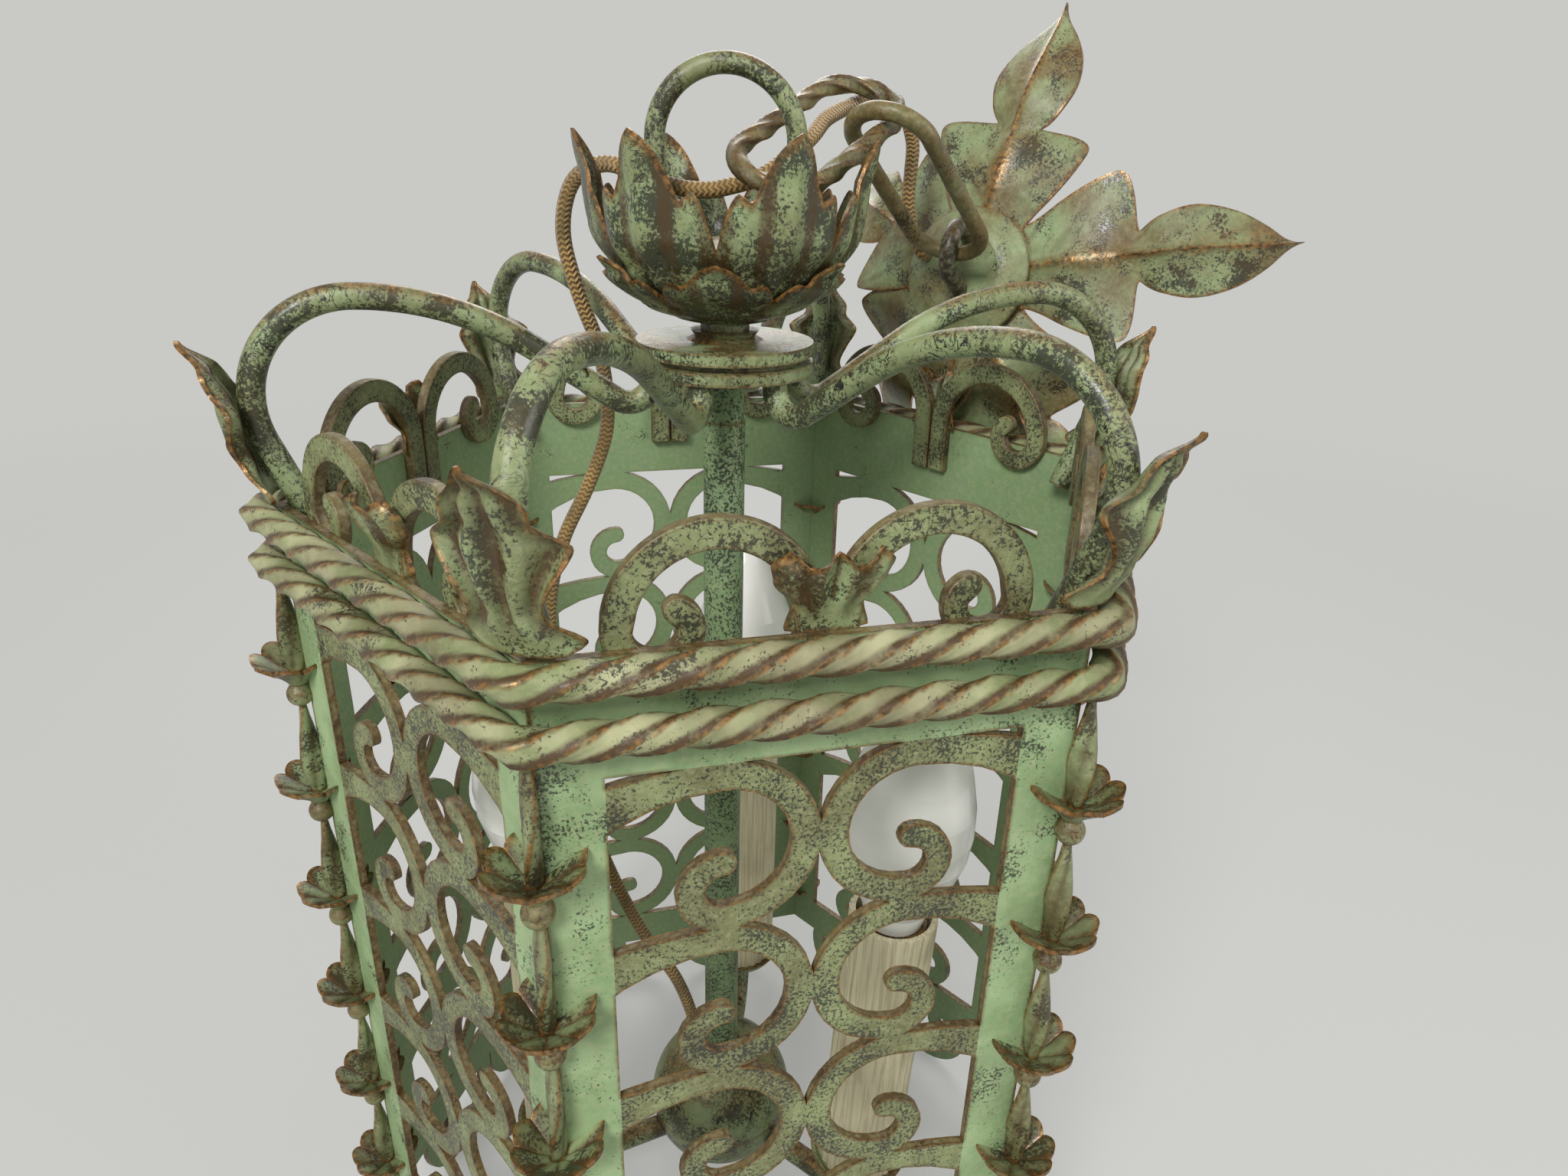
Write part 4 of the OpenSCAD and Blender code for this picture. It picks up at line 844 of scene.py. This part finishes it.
class MakeGarlands(bpy.types.Operator):
    """Casts the garlands of flowers and twisted leaves down the corners"""
    bl_idname = "lantern.make_garlands"
    bl_label = "Garlands"

    lobes, around = 8, 96

    def flower(self, shape, base, angle):
        """A bead with an eight-lobed flower on it, open upwards."""
        s = sizes()
        bead, mouth, r = s.bead_d / 2, s.flower_h - s.bead_d / 2, s.flower_r
        neck, wall = bead * 0.62, 1.2 * MM
        ball = [(0, 0)] + [(bead * sin(radians(a)), bead - bead * cos(radians(a)))
                           for a in range(20, 131, 10)]
        outer = [(neck, bead * 1.9), (r * 0.3, mouth * 0.56), (r * 0.46, mouth * 0.68),
                 (r * 0.64, mouth * 0.79), (r * 0.83, mouth * 0.89), (r, mouth * 0.96)]
        inner = [(r, mouth * 0.96 + wall), (r * 0.78, mouth * 0.88 + wall), (r * 0.5, mouth * 0.74 + wall),
                 (0, mouth * 0.55 + wall)]
        under_neck = 8
        rings = []
        for i in range(self.around):
            a = 2 * pi * i / self.around
            between = 1 - abs(cos(self.lobes / 2 * a)) ** 0.8
            ring = [(base + turn_z(polar(a, x, z), angle), 0.25, 0.6 if k > under_neck else 0)
                    for k, (x, z) in enumerate(ball)]
            for x, z in outer + inner:
                share = step(x, r * 0.22, r * 0.8)
                x = x * (1 - 0.13 * share * between)
                z = z + share * 1.5 * MM * (0.45 - between)
                ring.append((base + turn_z(polar(a, x, z), angle), 0.9 * step(x, r * 0.78, r * 0.9),
                             min(1, 1.6 * share * between)))
            rings.append(ring)
        shape.sweep(rings, loop=True, closed=False)

    def twist(self, shape, base, angle, length):
        """The twisted leaf that runs up to the next flower."""
        steps, sides = 18, 12
        rings = []
        for i in range(steps + 1):
            t = i / steps
            wide = (0.9 + 2.1 * sin(pi * t ** 0.8)) * MM
            deep = (0.8 + 0.8 * sin(pi * t)) * MM
            turn = -35 + 130 * t
            ring = []
            for a in (2 * pi * j / sides for j in range(sides)):
                point = turn_z((wide * cos(a), deep * sin(a), t * length), turn)
                ridge = abs(cos(a))
                ring.append((base + turn_z(point, angle), 0.9 * step(ridge, 0.85, 0.98),
                             0.8 * (1 - step(ridge, 0.1, 0.6))))
            rings.append(ring)
        shape.sweep(rings)

    def execute(self, context):
        s = sizes()
        proud, under_rope, over_rail = 2.2 * MM, 0.3 * MM, 2 * MM
        top = BAND_TOP - s.rope_drop - s.rope_gap - s.rope_bar * sqrt(2) / 2 - under_rope
        pitch = (top - RAIL_LOW - over_rail) / s.flowers
        start, overlap = s.flower_h * 0.4, 1.2 * MM
        for corner, angle in CORNERS.items():
            shape = Shape()
            for i in range(s.flowers):
                base = turn_z((SIDE + proud, 0, top - pitch * (i + 1)), angle)
                self.flower(shape, base, angle)
                self.twist(shape, base + Vector((0, 0, start)), angle, pitch - start + (overlap if i else 0))
            piece = shape.make("garland_" + corner + "_cast", iron("garland"))
            place(piece, "iron_bronze", "garland_" + corner)
        return {"FINISHED"}


class MakeRopes(bpy.types.Operator):
    """Twists the two square bars round the band"""
    bl_idname = "lantern.make_ropes"
    bl_label = "Ropes"

    def station(self, run, off, whole_side):
        """Middle of the bar at that run round the band, and the direction away from the cage."""
        side = int(run // whole_side)
        u, a = run - side * whole_side, radians(60 * side - 120)
        if u <= SIDE:
            out = Vector(polar(a + pi / 6))
            return SIDE * Vector(polar(a)) + u * Vector(polar(a + 2 * pi / 3)) + out * off, out
        out = Vector(polar(a + pi / 6 + (u - SIDE) / off))
        return SIDE * Vector(polar(a + pi / 3)) + out * off, out

    def rope(self, name, height):
        s = sizes()
        off = s.rope_bar * sqrt(2) / 2 + 0.05 * MM
        whole_side = SIDE + off * pi / 3
        quarters = round(6 * whole_side / s.rope_lay)
        steps = quarters * 8
        rings = []
        for i in range(steps):
            middle, out = self.station(6 * whole_side * i / steps, off, whole_side)
            middle.z = height
            rings.append(ring_round(middle, out, bar_section(s.rope_bar, pi / 2 * quarters * i / steps)))
        return Shape().sweep(rings, loop=True).make(name, iron("rope"), TWISTED)

    def execute(self, context):
        s = sizes()
        upper = BAND_TOP - s.rope_drop
        place(self.rope("rope_upper_twist", upper), "rope_cream", "rope_upper")
        place(self.rope("rope_lower_twist", upper - s.rope_gap), "rope_cream", "rope_lower")
        return {"FINISHED"}


class MakeCrown(bpy.types.Operator):
    """Paints the discs, the neck, the ring, the stem and the hub"""
    bl_idname = "lantern.make_crown"
    bl_label = "Crown and stem"

    def execute(self, context):
        for node in ("disc_lower", "disc_upper", "cup_neck", "hanging_ring", "hub_cap", "hub_bowl"):
            dress(node, iron("rod"))
        for node in ("stem_collar", "stem_tube"):
            dress(node, iron("stem"))
        return {"FINISHED"}


class MakeCup(bpy.types.Operator):
    """Raises the two rows of petals of the cup"""
    bl_idname = "lantern.make_cup"
    bl_label = "Petal cup"

    petals, turn, seam = 6, -16, 0.9 * MM

    # The bowl's radius up its height, and the petals' length from their middle to the gap beside them
    bowl = [(0, 0.165), (0.04, 0.34), (0.12, 0.55), (0.3, 0.79), (0.52, 0.92), (0.76, 0.95), (1, 1)]
    edge = [(0, 1), (0.1, 0.95), (0.25, 0.83), (0.42, 0.6), (0.52, 0.47), (0.62, 0.5), (0.72, 0.53),
            (0.86, 0.36), (1, 0)]

    def section(self, v, inset):
        """Radius and height at share v of the way up the bowl."""
        s = sizes()
        up = v ** 1.5
        for (a, low), (b, high) in zip(self.bowl, self.bowl[1:]):
            if up <= b:
                wide = low + (high - low) * sin(pi / 2 * (up - a) / (b - a)) ** 0.9
                break
        return s.cup_r * wide - inset * min(1, 4 * v), s.cup_h * up + inset * (1 - v)

    def row(self, name, turn, tall, low, deep, fluting):
        """A row of petals that reach tall, with gaps down to low."""
        s = sizes()
        around, up = 240, 34

        def spot(i, j, inset):
            a = 2 * pi * i / around
            across = abs((self.petals * a / pi + 1) % 2 - 1)
            share = j / up
            v = (low + (tall - low) * curve(self.edge, across)) * share
            r, z = self.section(v, deep + inset)
            side = abs(sin(self.petals * a / 2)) ** 0.7
            rib = cos(3 * self.petals * a)
            r *= 1 - fluting * side * min(1, 2 * v) + 0.016 * (rib - 1) * step(v, 0.06, 0.3)
            groove = max(0.95 * step(-rib, 0.35, 0.95) * step(share, 0.3, 0.7), 0.9 * step(side, 0.93, 0.995))
            return turn_z(polar(a, r, CUP_Z + z), turn), step(share, 0.95, 0.985), groove

        rings = [[spot(i, j, 0) for j in range(up + 1)] + [spot(i, j, s.cup_t) for j in range(up, -1, -1)]
                 for i in range(around)]
        return Shape().sweep(rings, loop=True).make(name, iron("petal"))

    def execute(self, context):
        half_step = 180 / self.petals
        outer = self.row("cup_outer_petals", self.turn + half_step, tall=0.52, low=0.3, deep=0, fluting=0)
        inner = self.row("cup_inner_petals", self.turn, tall=1, low=0.56, deep=sizes().cup_t + self.seam,
                         fluting=0.05)
        place(outer, "iron_green", "cup_outer")
        place(inner, "iron_green", "cup_inner")
        return {"FINISHED"}


class MakeCandles(bpy.types.Operator):
    """Finishes the candle arms, sleeves and bulbs"""
    bl_idname = "lantern.make_candles"
    bl_label = "Candles"

    def execute(self, context):
        for name in CANDLES:
            dress("candle_arm_" + name, iron("rod"))
            dress("sleeve_" + name, sleeve_card())
            dress("bulb_" + name, opal_glass())
        return {"FINISHED"}


class MakeChain(bpy.types.Operator):
    """Hammers the two chain links"""
    bl_idname = "lantern.make_chain"
    bl_label = "Chain"

    # Where each link lies, its turns, and whether its bar is twisted
    links = {"link_upper": ((26.3, 10.9, 342.1), (21, -20.9, 42.6), True),
             "link_lower": ((59.1, 25.4, 329.5), (-3.3, 37.4, 36.3), False)}
    steps, twists = 240, 3.5

    def hammered(self, i):
        """Section of the round rod, dented a little by the hammer."""
        radius, sides, dent = sizes().link_d / 2, 24, 0.015
        return [(2 * pi * j / sides, radius * (1 - dent + dent * sin(5 * j + 0.5 * i)), 0.2, 0)
                for j in range(sides)]

    def link(self, name, middle, turns, twisted):
        s = sizes()
        half = (s.link_w - s.link_d) / 2
        run = (s.link_l - s.link_w) / 2
        half_way = 2 * run + pi * half
        lie = laid(middle, turns)

        def at(t):
            """Middle of the rod at that run, and the direction out of the link."""
            side = 1 if t < half_way else -1
            t = t % half_way
            if t < 2 * run:
                return side * Vector((t - run, half, 0)), side * Vector((0, 1, 0))
            out = Vector(polar(pi / 2 - (t - 2 * run) / half))
            return side * (Vector((run, 0, 0)) + half * out), side * out

        rings = []
        for i in range(self.steps):
            point, out = at(2 * half_way * i / self.steps)
            turn = 2 * pi * self.twists * i / self.steps
            section = bar_section(s.link_d * 0.84, turn) if twisted else self.hammered(i)
            rings.append(ring_round(point, out, section, lie))
        return Shape().sweep(rings, loop=True).make(name + "_hammered", iron("chain"), TWISTED)

    def execute(self, context):
        for node, (middle, turns, twisted) in self.links.items():
            place(self.link(node, middle, turns, twisted), "iron_bronze", node, node + "_body")
        return {"FINISHED"}


class MakeRose(bpy.types.Operator):
    """Chases the leaves of the ceiling rose and paints its dome and hook"""
    bl_idname = "lantern.make_rose"
    bl_label = "Ceiling rose"

    middle, turns = (91, 54.5, 303.5), (0, 78.4, 219.6)
    disc, thick = 20 * MM, 1.2 * MM
    # The first leaf's turn in degrees, and each leaf's length and fall as shares
    first, leaves = 102, ((1, 1), (0.9, 0.8), (0.8, 1.6), (0.8, 2.4), (1, 1.5))
    # Along a leaf, half its width as a share, and its fall in mm
    half = [(0, 0.4), (0.12, 0.46), (0.2, 0.46), (0.3, 0.62), (0.4, 0.86), (0.455, 0.88), (0.49, 0.66),
            (0.515, 0.34), (0.55, 0.27), (0.63, 0.4), (0.73, 0.48), (0.84, 0.4), (0.93, 0.22), (1, 0.01)]
    fall = [(0, 0), (0.3, -1), (0.6, -7), (1, -20)]

    def leaf(self, shape, lie, long, back):
        s = sizes()

        def spot(u, v, lift):
            w = s.rose_leaf_w * curve(self.half, v)
            swell = sin(radians(150 * v))
            crown = 3.4 * swell * (1 - abs(u) ** 0.8) + 0.7 * swell * exp(-(u / 0.1) ** 2)
            z = (back * ramp(self.fall, v) + crown) * MM + lift
            ahead = 6 * MM * (u * u) * step(v, 0.3, 0.44) * (1 - step(v, 0.46, 0.6))
            x = long * s.rose_leaf_l * v * (1 - 0.04 * abs(u)) + ahead
            rib = 1 - step(abs(u), 0.04, 0.13)
            rim = step(abs(u), 0.9, 0.98) * 0.8
            vein = 1 - step(abs((v * 6 - abs(u) * 1.2) % 1 - 0.5), 0.05, 0.16)
            return lie @ Vector((x, u * w, z)), max(rib, rim), 0.4 * vein * step(abs(u), 0.1, 0.25)

        shape.sheet(spot, rows=96, cols=24, first=self.thick, last=0, foot=0.08)

    def execute(self, context):
        lie = laid(self.middle, self.turns)
        shape = Shape()
        rim = ((0, 0), (self.disc, 0), (self.disc, self.thick), (0, self.thick))
        around = 60
        turns = [2 * pi * i / around for i in range(around)]
        shape.sweep([[(lie @ Vector(polar(a, r, z)), 0, 0) for r, z in rim] for a in turns], loop=True,
                    closed=False)
        for i, (long, back) in enumerate(self.leaves):
            self.leaf(shape, lie @ Matrix.Rotation(radians(self.first + 72 * i), 4, "Z"), long, back)
        place(shape.make("rose_leaves_chased", iron("rose")), "iron_green", "rose_leaves", "rose_body")
        dress("rose_dome", iron("rose"))
        dress("rose_hook", iron("hook"))
        return {"FINISHED"}


class MakeStage(bpy.types.Operator):
    """Lays the pale floor and sets the soft studio lamps"""
    bl_idname = "lantern.make_stage"
    bl_label = "Stage"

    # Each lamp's place, width and power
    lamps = {"key": ((-0.7, -0.95, 1.15), 0.5, 19.0), "fill": ((1.0, -0.7, 0.75), 0.9, 6.0),
             "rim": ((0.25, 1.1, 0.95), 0.8, 7.0)}
    target, reach, ambient = Vector((0, 0, 0.19)), 4, 0.34

    def backdrop(self, tree):
        """1 for a ray that shows the backdrop: from the camera, or reflected or let through by a piece."""
        seen = add(tree, "LightPath", (), "Is Camera Ray")
        rays = seen.node.outputs
        for kind in ("Is Glossy Ray", "Is Transmission Ray"):
            seen = add(tree, "Math", (seen, rays[kind]), **LARGER)
        return seen

    def paper(self, tree):
        """Smooth matt paper. Far off it takes the tone of the backdrop, so that no horizon shows."""
        shine = add(tree, "Emission", {"Color": tint("floor"), "Strength": 1.0})
        point = add(tree, "NewGeometry", (), "Position")
        away = add(tree, "VectorMath", (point,), "Value", operation="LENGTH")
        far = add(tree, "MapRange", (away, 0.25, 1.4, 0.45, 1.0), interpolation_type="SMOOTHSTEP")
        share = add(tree, "Math", (self.backdrop(tree), far), **PRODUCT)
        lit = tree.nodes["Principled BSDF"].outputs[0]
        feed(tree.nodes["Material Output"], {"Surface": add(tree, "MixShader", (share, lit, shine))})
        return {"Base Color": tint("floor"), "Roughness": 0.9}

    def execute(self, context):
        scene = context.scene
        ends = (-self.reach, self.reach)
        rows = [[((x, y, -0.02 * MM), 0, 0) for y in ends] for x in ends]
        Shape().sweep(rows, closed=False).make("floor", material("Pale studio paper", self.paper))
        for name, (spot, width, power) in self.lamps.items():
            data = bpy.data.lights.new(name, "AREA")
            data.shape, data.size, data.energy = "DISK", width, power
            lamp = bpy.data.objects.new(name, data)
            lamp.location = spot
            lamp.rotation_mode = "QUATERNION"
            lamp.rotation_quaternion = (self.target - Vector(spot)).to_track_quat("-Z", "Y")
            scene.collection.objects.link(lamp)
        scene.world = bpy.data.worlds.new("studio")
        scene.world.use_nodes = True
        tree = scene.world.node_tree
        soft = add(tree, "Background", {"Color": (1, 1, 1, 1), "Strength": self.ambient})
        shown = add(tree, "Background", {"Color": tint("floor"), "Strength": 1.0})
        mixed = add(tree, "MixShader", (self.backdrop(tree), soft, shown))
        feed(tree.nodes["World Output"], {"Surface": mixed})
        scene.view_settings.view_transform = "Standard"
        return {"FINISHED"}


OPERATORS = (MakeView, MakeFlex, MakePanels, MakeCrests, MakeArms, MakeCornerLeaves, MakeGarlands, MakeRopes,
             MakeCrown, MakeCup, MakeCandles, MakeChain, MakeRose, MakeStage)


class LanternPanel(bpy.types.Panel):
    """Lists the steps that dress the lantern"""
    bl_idname = "VIEW3D_PT_lantern"
    bl_label = "Lantern"
    bl_space_type = "VIEW_3D"
    bl_region_type = "UI"
    bl_category = "Lantern"

    def draw(self, context):
        for name, _ in GROUPS:
            group = getattr(context.scene, name)
            box = self.layout.box()
            for key in group.__annotations__:
                box.prop(group, key)
        for operator in OPERATORS:
            self.layout.operator(operator.bl_idname)


GROUPS = (("lantern_sizes", LanternSizes), ("lantern_colours", LanternColours),
          ("lantern_patterns", LanternPatterns))


def register():
    for name, group in GROUPS:
        bpy.utils.register_class(group)
        setattr(bpy.types.Scene, name, PointerProperty(type=group))
    for item in (*OPERATORS, LanternPanel):
        bpy.utils.register_class(item)


def unregister():
    for item in (LanternPanel, *reversed(OPERATORS)):
        bpy.utils.unregister_class(item)
    for name, group in reversed(GROUPS):
        delattr(bpy.types.Scene, name)
        bpy.utils.unregister_class(group)


def main():
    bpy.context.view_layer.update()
    register()
    for operator in OPERATORS:
        group, name = operator.bl_idname.split(".")
        getattr(getattr(bpy.ops, group), name)()
    bpy.context.view_layer.update()


if __name__ == "__main__":
    main()
